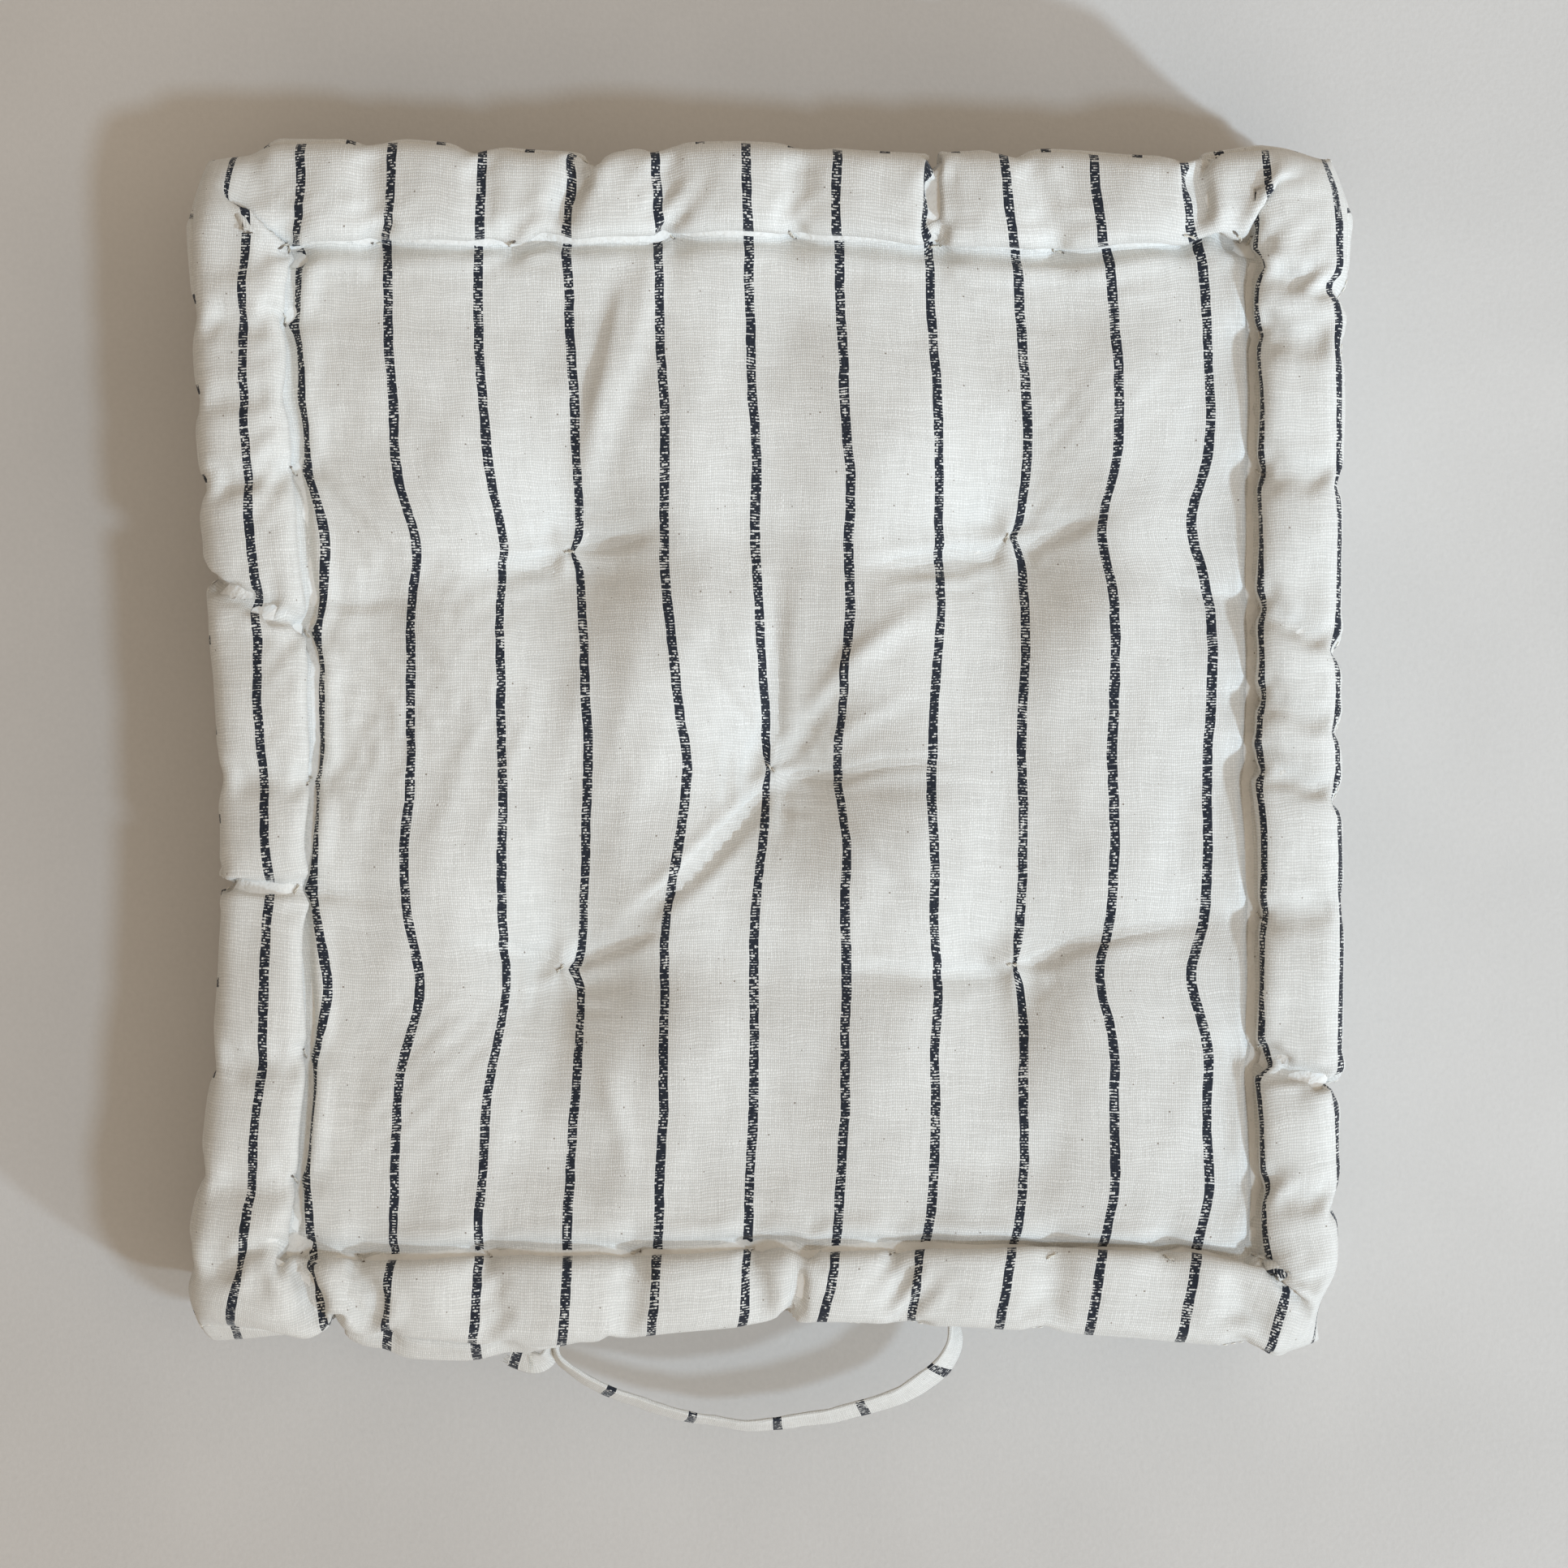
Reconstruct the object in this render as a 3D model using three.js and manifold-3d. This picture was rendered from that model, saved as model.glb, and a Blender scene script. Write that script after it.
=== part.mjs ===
// A square mattress-style floor cushion: a striped cotton cover of a top panel, a bottom panel and four
// border strips, stuffed with cotton wadding. A rolled edge runs round both faces, held by hand-sewn twine
// that passes through the cushion from the face to the border. Five twine tufts tie the two faces together,
// and a cloth handle is tacked to the front border.
//
// Millimetres, +Z up, the cushion lying on its underside. The front, with the handle, faces -Y.

import * as THREE from "three";
import { mergeVertices } from "three/addons/utils/BufferGeometryUtils.js";
import Module from "manifold-3d";

const wasm = await Module();
wasm.setup();

// ---- Driving sizes ----

const width = 494; // X, across the stripes
const length = 516; // Y, along the stripes
const thickness = 100; // Z
const cornerRadius = 30; // of the outline, at the perimeter seams
const clothThickness = 1.2;
const clearance = 0.3; // between neighbouring pieces

const rollWidth = 44; // from the outline in to the stitched row on a face
const rollTightness = 16; // how far the stitched row on the border is pulled in from the outline
const seamDrop = 18; // from a face to its perimeter seam
const rowMargin = 1; // between the handle's strap and the border's stitched rows above and below it
const grooveDepth = 19; // of the stitched row on a face
const fieldDrop = 8; // from the top of the roll down to the field inside it

const tuftReach = 66; // radius of the dimple round a tuft
const tuftDepth = 24; // depth of that dimple
const undersideTuftReach = 56;
const tuftStitch = 6; // the bar of twine that shows at a tuft
// Where the tufts are tied, from the middle of the cushion.
const tufts = {
  middle: [1, -12],
  back_left: [-87, 82],
  back_right: [103, 88],
  front_left: [-91, -99],
  front_right: [105, -97],
};

const twineRadius = 0.8;
const seamThreadRadius = 0.8;
const cornerThreadRadius = 0.6;
const seamSlack = 0.6; // room between a seam's thread and the cloth's slanting edge
const stitchesPerSide = 7;
const faceStitch = 9; // the bar of twine that shows on a face
const borderStitch = 6; // the bar that shows on the border
const stitchMargin = 12; // from the corner of the stitched row to the first stitch

const strapWidth = 18;
const strapThickness = 2.4;
const strapEndWidth = 7; // where the strap is gathered at its sewn ends
const strapTaper = 26; // how far from each end the strap reaches its full width
const handleSpan = 168; // between the sewn ends
const handleReach = 47; // how far the loop stands out from its hinge line
const handleOffset = -6; // of the handle's middle from the cushion's middle, along X
const handleDroop = 12; // degrees below level
const tabLength = 22; // the sewn end of the strap
const tabNarrowing = 1; // how much narrower than the strap it is
const tackHeight = 13;
const tackWidth = 3;
const tackThickness = 0.9;

const sideSegments = 7; // facets along each straight side

// ---- Sizes that follow ----

// From a face to the stitched row on the border.
const borderRowDrop = (thickness - strapWidth) / 2 - rowMargin;
const coreGap = 0.7; // between the cover and its wadding
const coreDepth = Math.max(clothThickness, 2 * seamThreadRadius) + coreGap;
const seamGap = seamThreadRadius + clearance + seamSlack; // from the seam's middle to the cloth's edge
const cornerTrim = cornerThreadRadius + clearance;
const midHeight = thickness / 2;
const borderWaist = rollTightness - 2; // the border swells a little between its stitched rows

const wallY = -(length / 2 - borderWaist); // the front border's outer face at mid height
const strapEndSwing = Math.hypot(strapEndWidth, strapThickness) / 2;
const hingeY = wallY - clearance - strapEndSwing;
const droop = THREE.MathUtils.degToRad(handleDroop);
const frontReach = (handleReach + strapThickness / 2) * Math.cos(droop) + (strapWidth / 2) * Math.sin(droop);
const frontEdge = hingeY - frontReach;
const originShift = -(frontEdge + length / 2) / 2; // puts the origin under the middle of the whole outline

// ---- Materials ----

const canvas = new THREE.MeshStandardMaterial({ color: 0xe4dfd4, roughness: 0.92, metalness: 0 });
const wadding = new THREE.MeshStandardMaterial({ color: 0xf1ede2, roughness: 1, metalness: 0 });
const twine = new THREE.MeshStandardMaterial({ color: 0xd9cfba, roughness: 0.85, metalness: 0 });
const thread = new THREE.MeshStandardMaterial({ color: 0xeae4d6, roughness: 0.8, metalness: 0 });

// ---- The outline ----

// One side's own directions: along it, anticlockwise from above, and outwards.
const sides = {
  front: { along: [1, 0], out: [0, -1], half: width / 2, depth: length / 2 },
  right: { along: [0, 1], out: [1, 0], half: length / 2, depth: width / 2 },
  back: { along: [-1, 0], out: [0, 1], half: width / 2, depth: length / 2 },
  left: { along: [0, -1], out: [-1, 0], half: length / 2, depth: width / 2 },
};
const sideNames = Object.keys(sides);

// A point beside one side: so far along from its middle, so far in from the outline, and its height.
function besideSide(side, along, inset, z) {
  const out = side.depth - inset;
  const x = side.along[0] * along + side.out[0] * out;
  const y = side.along[1] * along + side.out[1] * out;
  return new THREE.Vector3(x, y, z);
}

const ringRadius = (inset) => Math.max(cornerRadius - inset, 8);

// The outline moved in by inset, at one height. Each side starts at the middle of its first corner.
function ring(inset, z) {
  const points = [];
  for (const name of sideNames) {
    const side = sides[name];
    const radius = ringRadius(inset);
    const straight = side.half - inset - radius;
    const diagonal = radius * (1 - Math.SQRT1_2);
    points.push(besideSide(side, -(side.half - inset - diagonal), inset + diagonal, z));
    for (let i = 0; i <= sideSegments; i++) {
      points.push(besideSide(side, straight * ((2 * i) / sideSegments - 1), inset, z));
    }
  }
  return points;
}

const ringCount = 4 * (sideSegments + 2);

// ---- The skin: the cover's outer face, as rings from the middle of the top to the middle below ----

// How deep the dimples are at a point, as a share. A dimple is flat at its middle and at its rim.
function dimple(x, y, reach) {
  const shares = Object.values(tufts).map(([tx, ty]) => Math.min(Math.hypot(x - tx, y - ty) / reach, 1));
  return Math.cos((Math.min(...shares) * Math.PI) / 2) ** 2;
}

const fieldShares = [0, 0.25, 0.45, 0.64, 0.84]; // the third ring runs by the outer tufts
const fieldRise = 0.2; // the share of the field over which it climbs out of the groove

// The field inside the rolled edge, from the middle out. level is its height, groove the stitched row's, and
// depth how far a dimple moves it.
function fieldRings(level, groove, reach, depth) {
  const edge = ring(rollWidth, groove);
  return fieldShares.map((share) => {
    const climb = THREE.MathUtils.smoothstep(1 - share, 0, fieldRise);
    return edge.map((p) => {
      const [x, y] = [p.x * share, p.y * share];
      return new THREE.Vector3(x, y, groove + (level - groove) * climb + depth * dimple(x, y, reach));
    });
  });
}

// The rolled edge and the border's upper half, as inset and drop from the face. The panel's edge and the
// strip's edge stand either side of the seam.
const rollProfile = [
  [rollWidth, grooveDepth],
  [rollWidth - 7, grooveDepth / 2],
  [rollWidth - 18, 0],
  [seamDrop * 0.72, 0],
  [seamDrop * 0.2, seamDrop * 0.45],
  [0.2, seamDrop - seamGap],
];
const seamProfile = [[0, seamDrop]];
const borderProfile = [
  [0.2, seamDrop + seamGap],
  [rollTightness * 0.4, seamDrop + 0.6 * (borderRowDrop - seamDrop)],
  [rollTightness, borderRowDrop],
];

const topHeight = (drop) => thickness - drop;
const underHeight = (drop) => drop;
const ringsOf = (profile, height) => profile.map(([inset, drop]) => ring(inset, height(drop)));

const topField = fieldRings(thickness - fieldDrop, thickness - grooveDepth, tuftReach, -tuftDepth);
const underField = fieldRings(0, grooveDepth, undersideTuftReach, tuftDepth);
const panelRings = [...topField, ...ringsOf(rollProfile, topHeight)];
const stripRings = [
  ...ringsOf(borderProfile, topHeight),
  ring(borderWaist, midHeight),
  ...ringsOf(borderProfile, underHeight).reverse(),
];
const underRings = [...underField, ...ringsOf(rollProfile, underHeight)].reverse();
const skin = [
  ...panelRings,
  ...ringsOf(seamProfile, topHeight),
  ...stripRings,
  ...ringsOf(seamProfile, underHeight),
  ...underRings,
];

// ---- Meshes and solids ----

function meshGeometry(points, triangles) {
  const geometry = new THREE.BufferGeometry().setFromPoints(points);
  geometry.setIndex(triangles);
  return geometry;
}

// Two triangles for the square from a, in row one, to d, in row two.
const square = (a, b, c, d) => [a, c, b, b, c, d];

// The triangles between rows of points, each row count long. With wrap set, a row's last point joins its
// first.
function rowTriangles(rows, count, wrap) {
  const triangles = [];
  for (let r = 0; r + 1 < rows; r++) {
    for (let i = 0; i < (wrap ? count : count - 1); i++) {
      const next = (i + 1) % count;
      triangles.push(...square(r * count + i, r * count + next, (r + 1) * count + i, (r + 1) * count + next));
    }
  }
  return triangles;
}

// Each skin point's outward direction.
function skinNormals() {
  const merged = mergeVertices(meshGeometry(skin.flat(), rowTriangles(skin.length, ringCount, true)), 1e-3);
  merged.computeVertexNormals();
  const position = merged.attributes.position;
  const normal = merged.attributes.normal;
  const key = (p) => [p.x, p.y, p.z].map((v) => v.toFixed(2)).join();
  const found = new Map();
  for (let i = 0; i < position.count; i++) {
    const point = new THREE.Vector3().fromBufferAttribute(position, i);
    found.set(key(point), new THREE.Vector3().fromBufferAttribute(normal, i));
  }
  return skin.map((points) => points.map((p) => found.get(key(p))));
}
const normals = skinNormals();

// A skin ring moved in by depth.
const inner = (r, depth) => skin[r].map((p, i) => p.clone().addScaledVector(normals[r][i], -depth));

function solidOf(geometry) {
  const bare = geometry.index ? geometry.toNonIndexed() : geometry.clone();
  const position = bare.getAttribute("position");
  const merged = mergeVertices(new THREE.BufferGeometry().setAttribute("position", position), 1e-3);
  const vertProperties = merged.attributes.position.array;
  const triVerts = new Uint32Array(merged.index.array).filter((v, i, all) => {
    const start = i - (i % 3);
    const [a, b, c] = all.slice(start, start + 3);
    return a !== b && b !== c && a !== c;
  });
  return new wasm.Manifold(new wasm.Mesh({ numProp: 3, vertProperties, triVerts }));
}

function geometryOf(solid) {
  const made = solid.getMesh();
  const geometry = new THREE.BufferGeometry();
  geometry.setAttribute("position", new THREE.BufferAttribute(new Float32Array(made.vertProperties), 3));
  geometry.setIndex(new THREE.BufferAttribute(new Uint32Array(made.triVerts), 1));
  return geometry;
}

// The wadding: every ring of the skin moved in. Its first and last rings are single points.
function core() {
  const rings = skin.map((_, r) => inner(r, coreDepth));
  return solidOf(meshGeometry(rings.flat(), rowTriangles(rings.length, ringCount, true)));
}

// A sheet of cloth between two surfaces of rows. open is the list of row ends that need a wall.
function sheet(outer, lining, wrap) {
  const rows = outer.length;
  const count = outer[0].length;
  const under = rows * count;
  const faces = rowTriangles(rows, count, wrap);
  const back = [];
  for (let i = 0; i < faces.length; i += 3) {
    back.push(under + faces[i], under + faces[i + 2], under + faces[i + 1]);
  }
  const walls = [];
  const wall = (a, b) => walls.push(...square(a, b, under + a, under + b));
  for (let i = 0; i < (wrap ? count : count - 1); i++) {
    const next = (i + 1) % count;
    wall(next, i);
    wall((rows - 1) * count + i, (rows - 1) * count + next);
  }
  for (let r = 0; !wrap && r + 1 < rows; r++) {
    wall(r * count, (r + 1) * count);
    wall((r + 1) * count + count - 1, r * count + count - 1);
  }
  return solidOf(meshGeometry([...outer.flat(), ...lining.flat()], [...faces, ...back, ...walls]));
}

// A panel: all the way round, over the skin's rings from first to last.
function panel(first, last) {
  const rows = [...Array(last - first + 1).keys()].map((r) => r + first);
  return sheet(
    rows.map((r) => skin[r]),
    rows.map((r) => inner(r, clothThickness)),
    true,
  );
}

// Moves a row's two ends in along the row, to leave room for the corner threads.
function trimmed(row) {
  const ends = row.map((p) => p.clone());
  const toward = (end, next) => end.add(next.clone().sub(end).setLength(cornerTrim));
  toward(ends[0], row[1]);
  toward(ends.at(-1), row.at(-2));
  return ends;
}

const firstStrip = panelRings.length + seamProfile.length;
const lastStrip = firstStrip + stripRings.length - 1;

// A border strip, from the middle of one corner to the middle of the next.
function strip(sideIndex) {
  const start = sideIndex * (sideSegments + 2);
  const row = (points) => {
    const cut = [];
    for (let i = 0; i <= sideSegments + 2; i++) cut.push(points[(start + i) % ringCount]);
    return trimmed(cut);
  };
  const outer = [];
  const lining = [];
  for (let r = firstStrip; r <= lastStrip; r++) {
    outer.push(row(skin[r]));
    lining.push(row(inner(r, clothThickness)));
  }
  return sheet(outer, lining, false);
}

// ---- Twine and thread ----

// Straight runs between points, with one section of the tube at each point.
class Polyline extends THREE.Curve {
  constructor(points, closed = false) {
    super();
    this.points = closed ? [...points, points[0]] : points;
  }
  getPoint(t, target = new THREE.Vector3()) {
    const place = t * (this.points.length - 1);
    const from = Math.min(Math.floor(place), this.points.length - 2);
    return target.lerpVectors(this.points[from], this.points[from + 1], place - from);
  }
  getPointAt(t, target) {
    return this.getPoint(t, target);
  }
  getTangentAt(t, target) {
    return this.getTangent(t, target);
  }
  getLengths(divisions = 1) {
    return [...Array(divisions + 1).keys()];
  }
}

const twineSides = 4;

function tube(points, radius) {
  const section = new THREE.Shape(
    [...Array(twineSides).keys()].map((i) => {
      const turn = (2 * Math.PI * i) / twineSides;
      return new THREE.Vector2(radius * Math.cos(turn), radius * Math.sin(turn));
    }),
  );
  const path = new Polyline(points);
  return solidOf(new THREE.ExtrudeGeometry(section, { steps: points.length - 1, extrudePath: path }));
}

function loop(points, radius) {
  return solidOf(new THREE.TubeGeometry(new Polyline(points, true), points.length, radius, twineSides, true));
}

// The thread that closes a perimeter seam, sunk level with the cloth.
function seamThread(r) {
  return loop(inner(r, seamThreadRadius), seamThreadRadius);
}

// The thread that joins two border strips at a corner.
function cornerThread(sideIndex) {
  const corner = sideIndex * (sideSegments + 2);
  const points = [];
  for (let r = firstStrip; r <= lastStrip; r++) points.push(inner(r, cornerThreadRadius)[corner]);
  return tube(points, cornerThreadRadius);
}

const faceLift = 2.6; // the bar's middle above the bottom of the groove, clear of both its walls
const borderLift = 2; // the same on the border
const tailShare = 0.4; // how far towards the border row a run's two loose ends go
const slotGap = twineRadius + clearance + 0.1; // from the twine's middle to the side of its slot

// A point in the plane of one side's stitching. share is 0 at the face row and 1 at the border row.
function stitchPoint(side, height, along, share) {
  const face = besideSide(side, along, rollWidth, height(grooveDepth - faceLift));
  const border = besideSide(side, along, rollTightness - borderLift, height(borderRowDrop));
  return face.lerp(border, share);
}

const firstStitch = (side) => side.half - rollWidth - ringRadius(rollWidth) - stitchMargin;
const stitchPitch = (side) => (2 * firstStitch(side)) / (stitchesPerSide - 1);
const places = [...Array(stitchesPerSide).keys()];
const faceStitches = (side) => places.map((i) => i * stitchPitch(side) - firstStitch(side));
const borderStitches = (side) => faceStitches(side).slice(1).map((at) => at - stitchPitch(side) / 2);

// One side's run of edge twine. It shows as a bar on the face, passes through the roll to the border, shows
// as a bar there and comes back.
function edgeRun(side, height) {
  const spots = [
    ...faceStitches(side).map((at) => [at, faceStitch / 2, 0]),
    ...borderStitches(side).map((at) => [at, borderStitch / 2, 1]),
  ].sort((a, b) => a[0] - b[0]);
  const end = firstStitch(side) + faceStitch / 2;
  return [
    stitchPoint(side, height, -end, tailShare),
    ...spots.flatMap(([at, half, share]) => [
      stitchPoint(side, height, at - half, share),
      stitchPoint(side, height, at + half, share),
    ]),
    stitchPoint(side, height, end, tailShare),
  ];
}

// A slot for twine in the plane of one side's stitching, between two places along it and two shares.
function stitchSlot(side, height, [from, to], [near, far]) {
  const legs = stitchPoint(side, height, 0, 1).sub(stitchPoint(side, height, 0, 0)).normalize();
  const along = new THREE.Vector3(side.along[0], side.along[1], 0);
  const across = new THREE.Vector3().crossVectors(legs, along).setLength(slotGap);
  const section = (at) =>
    [[near, -1], [far, -1], [far, 1], [near, 1]].map(([share, hand]) =>
      stitchPoint(side, height, at, share).addScaledVector(across, hand),
    );
  return loft([section(from), section(to)]);
}

// The slots in the cloth at each bar of one side's twine.
function clothSlots(side, height) {
  const slot = (at, half, shares) => stitchSlot(side, height, [at - half - 3, at + half + 3], shares);
  return [
    ...faceStitches(side).map((at) => slot(at, faceStitch / 2, [-0.05, 0.25])),
    ...borderStitches(side).map((at) => slot(at, borderStitch / 2, [0.75, 1.05])),
  ];
}

// The slit in the wadding where one side's twine draws the roll in.
function coreSlit(side, height) {
  const end = firstStitch(side) + faceStitch / 2 + slotGap + clearance;
  return stitchSlot(side, height, [-end, end], [-0.1, 1.1]);
}

// The skin's height over or under a point.
const skinMesh = new THREE.Mesh(
  meshGeometry(skin.flat(), rowTriangles(skin.length, ringCount, true)),
  new THREE.MeshBasicMaterial({ side: THREE.DoubleSide }),
);
function skinHeight(x, y, fromAbove) {
  const down = fromAbove ? -1 : 1;
  const start = new THREE.Vector3(x, y, midHeight - down * thickness);
  const ray = new THREE.Raycaster(start, new THREE.Vector3(0, 0, down));
  return ray.intersectObject(skinMesh)[0].point.z;
}

const tuftLift = twineRadius + clearance + 0.5;
const tuftHalf = tuftStitch / 2;

// A tuft's twine: up through both faces, across the top as a short bar, and back down.
function tuftPath([x, y]) {
  const ends = [x - tuftHalf, x + tuftHalf];
  const top = Math.max(...ends.map((end) => skinHeight(end, y, true))) + tuftLift;
  const bottom = Math.min(...ends.map((end) => skinHeight(end, y, false))) - tuftLift;
  return [
    new THREE.Vector3(ends[0], y, bottom),
    new THREE.Vector3(ends[0], y, top),
    new THREE.Vector3(ends[1], y, top),
    new THREE.Vector3(ends[1], y, bottom),
  ];
}

// The hole that a tuft's two legs share, through everything.
function tuftHole([x, y]) {
  return box(tuftStitch + 2 * slotGap, 2 * slotGap, 2 * thickness, x, y, midHeight);
}

// The knot that closes a tuft under the cushion.
function tuftKnot(path) {
  const middle = path[0].clone().lerp(path.at(-1), 0.5);
  const knot = new THREE.SphereGeometry(1, 6, 4);
  knot.scale(tuftHalf + 2 * twineRadius, 1.6 * twineRadius, 1.6 * twineRadius);
  knot.translate(middle.x, middle.y, middle.z - twineRadius);
  return solidOf(knot);
}

// ---- The handle ----

// A solid through four-cornered sections.
function loft(sections) {
  const count = 4;
  const last = (sections.length - 1) * count;
  const caps = [0, 1, 2, 0, 2, 3, last, last + 2, last + 1, last, last + 3, last + 2];
  return solidOf(meshGeometry(sections.flat(), [...rowTriangles(sections.length, count, true), ...caps]));
}

// The strap's loop, level, with its hinge line on X through the origin.
function handleLoop() {
  const half = handleSpan / 2 - clearance;
  const steps = 22;
  const curve = new THREE.CubicBezierCurve(
    new THREE.Vector2(-half, 0),
    new THREE.Vector2(-half * 0.55, (-handleReach * 4) / 3),
    new THREE.Vector2(half * 0.55, (-handleReach * 4) / 3),
    new THREE.Vector2(half, 0),
  );
  const total = curve.getLength();
  const sections = [];
  for (let i = 0; i <= steps; i++) {
    const share = i / steps;
    const at = curve.getPointAt(share);
    const fromEnd = Math.min(share, 1 - share) * total;
    const open = THREE.MathUtils.smoothstep(fromEnd, 0, strapTaper);
    const tall = THREE.MathUtils.lerp(strapEndWidth, strapWidth, open) / 2;
    // The sewn ends stay square to the wall, and the rest is square to the curve.
    const turn = curve.getTangentAt(share).lerp(new THREE.Vector2(1, 0), 1 - open).normalize();
    const thick = new THREE.Vector2(-turn.y, turn.x).multiplyScalar(strapThickness / 2);
    sections.push([
      new THREE.Vector3(at.x - thick.x, at.y - thick.y, -tall),
      new THREE.Vector3(at.x - thick.x, at.y - thick.y, tall),
      new THREE.Vector3(at.x + thick.x, at.y + thick.y, tall),
      new THREE.Vector3(at.x + thick.x, at.y + thick.y, -tall),
    ]);
  }
  return loft(sections);
}

function box(sizeX, sizeY, sizeZ, x, y, z) {
  return solidOf(new THREE.BoxGeometry(sizeX, sizeY, sizeZ).translate(x, y, z));
}

// The strap's sewn end, flat on the border. hand is -1 for the left end.
function handleTab(hand) {
  const x = handleOffset + hand * (handleSpan / 2 + tabLength / 2);
  const y = wallY - clearance - strapThickness / 2;
  return box(tabLength, strapThickness, strapWidth - tabNarrowing, x, y, midHeight);
}

// A bar tack: two blocks of thread joined by legs through the strap and the border. grow widens it, to cut
// its holes.
function handleTack(hand, grow = 0) {
  const x = handleOffset + hand * (handleSpan / 2 + tabLength * 0.35);
  const outside = wallY - 2 * clearance - strapThickness - tackThickness / 2;
  const inside = wallY + clothThickness + clearance + tackThickness / 2;
  const legSize = tackWidth * 0.5 + 2 * grow;
  let tack = wasm.Manifold.union([
    box(tackWidth, tackThickness, tackHeight, x, outside, midHeight),
    box(tackWidth + 2 * grow, tackThickness + 2 * grow, tackHeight + 2 * grow, x, inside, midHeight),
  ]);
  for (const end of [-1, 1]) {
    const z = midHeight + end * tackHeight * 0.35;
    tack = tack.add(box(legSize, inside - outside, legSize, x, (inside + outside) / 2, z));
  }
  return tack;
}

// ---- Assembly ----

const cushion = new THREE.Group();
cushion.position.y = originShift;

function place(name, solid, material, parent = cushion) {
  const mesh = new THREE.Mesh(geometryOf(solid), material);
  mesh.name = name;
  parent.add(mesh);
  return mesh;
}

const heights = { top: topHeight, under: underHeight };
const faceSlots = (height) => Object.values(sides).flatMap((side) => clothSlots(side, height));
const tuftHoles = wasm.Manifold.union(Object.values(tufts).map(tuftHole));
const tackHoles = handleTack(-1, clearance).add(handleTack(1, clearance));
const slots = {
  top: wasm.Manifold.union(faceSlots(topHeight)),
  under: wasm.Manifold.union(faceSlots(underHeight)),
};

place("top_panel", panel(0, panelRings.length - 1).subtract(slots.top).subtract(tuftHoles), canvas);
const firstUnder = skin.length - underRings.length;
place("bottom_panel", panel(firstUnder, skin.length - 1).subtract(slots.under).subtract(tuftHoles), canvas);
sideNames.forEach((name, i) => {
  const border = strip(i).subtract(slots.top).subtract(slots.under);
  place(`border_strip_${name}`, name === "front" ? border.subtract(tackHoles) : border, canvas);
  place(`corner_seam_${i + 1}`, cornerThread(i), thread);
});

let wool = core().subtract(tuftHoles).subtract(tackHoles);
for (const side of Object.values(sides)) {
  for (const height of Object.values(heights)) wool = wool.subtract(coreSlit(side, height));
}
place("wadding_core", wool, wadding);
place("top_perimeter_seam", seamThread(panelRings.length), thread);
place("bottom_perimeter_seam", seamThread(lastStrip + 1), thread);
for (const [face, height] of Object.entries(heights)) {
  for (const name of sideNames) {
    place(`${face}_edge_twine_${name}`, tube(edgeRun(sides[name], height), twineRadius), twine);
  }
}
for (const [name, at] of Object.entries(tufts)) {
  const path = tuftPath(at);
  place(`tuft_twine_${name}`, tube(path, twineRadius).add(tuftKnot(path)), twine);
}

for (const [name, hand] of [["left", -1], ["right", 1]]) {
  place(`handle_tab_${name}`, handleTab(hand).subtract(tackHoles), canvas);
  place(`handle_tack_${name}`, handleTack(hand), thread);
}

const hinge = new THREE.Group();
hinge.position.set(handleOffset, hingeY, midHeight);
hinge.rotation.x = droop;
cushion.add(hinge);
place("handle_loop", handleLoop(), canvas, hinge);

export default cushion;
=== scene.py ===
import math

import bmesh
import bpy
import numpy as np
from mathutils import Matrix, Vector
from mathutils.bvhtree import BVHTree


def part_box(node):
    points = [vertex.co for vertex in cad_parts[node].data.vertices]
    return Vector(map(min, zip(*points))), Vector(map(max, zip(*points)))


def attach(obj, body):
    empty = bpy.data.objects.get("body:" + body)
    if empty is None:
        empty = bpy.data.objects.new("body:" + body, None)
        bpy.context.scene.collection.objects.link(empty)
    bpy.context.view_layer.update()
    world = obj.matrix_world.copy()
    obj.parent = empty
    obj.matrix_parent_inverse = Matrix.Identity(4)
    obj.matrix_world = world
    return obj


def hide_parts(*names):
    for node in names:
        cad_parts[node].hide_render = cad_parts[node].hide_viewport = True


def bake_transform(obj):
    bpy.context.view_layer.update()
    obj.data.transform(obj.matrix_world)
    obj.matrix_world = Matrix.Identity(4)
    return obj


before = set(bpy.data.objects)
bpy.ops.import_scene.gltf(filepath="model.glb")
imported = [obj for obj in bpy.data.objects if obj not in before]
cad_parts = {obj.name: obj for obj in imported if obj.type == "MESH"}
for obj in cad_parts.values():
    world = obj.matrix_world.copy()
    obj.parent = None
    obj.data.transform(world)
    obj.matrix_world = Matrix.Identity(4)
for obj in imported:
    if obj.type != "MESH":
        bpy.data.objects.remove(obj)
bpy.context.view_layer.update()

# A mattress-style floor cushion in striped cotton. Its cover is shaped as stuffed, settled by a small spring
# simulation, then dressed with twine, seams, a handle and woven materials.
# The cloth is worked in millimetres and turned to metres when a mesh is made.

mm = 0.001


def boxOf(node):
    low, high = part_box(node)
    return np.array(low) / mm, np.array(high) / mm


seamLow, seamHigh = boxOf("top_perimeter_seam")
middle = (seamLow + seamHigh) / 2
halfX, halfY = (seamHigh - seamLow)[:2] / 2  # the outline, at its seams
topSeamZ = middle[2]
underSeamZ = boxOf("bottom_perimeter_seam")[0][2] + (seamHigh - seamLow)[2] / 2
topZ = boxOf("top_panel")[1][2]
tuftAt = {
    name: (np.array(boxOf("tuft_twine_" + name)).mean(0) - middle)[:2]
    for name in ("middle", "back_left", "back_right", "front_left", "front_right")
}
tuftZ = {name: boxOf("tuft_twine_" + name)[1][2] - 1.5 for name in tuftAt}

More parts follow.
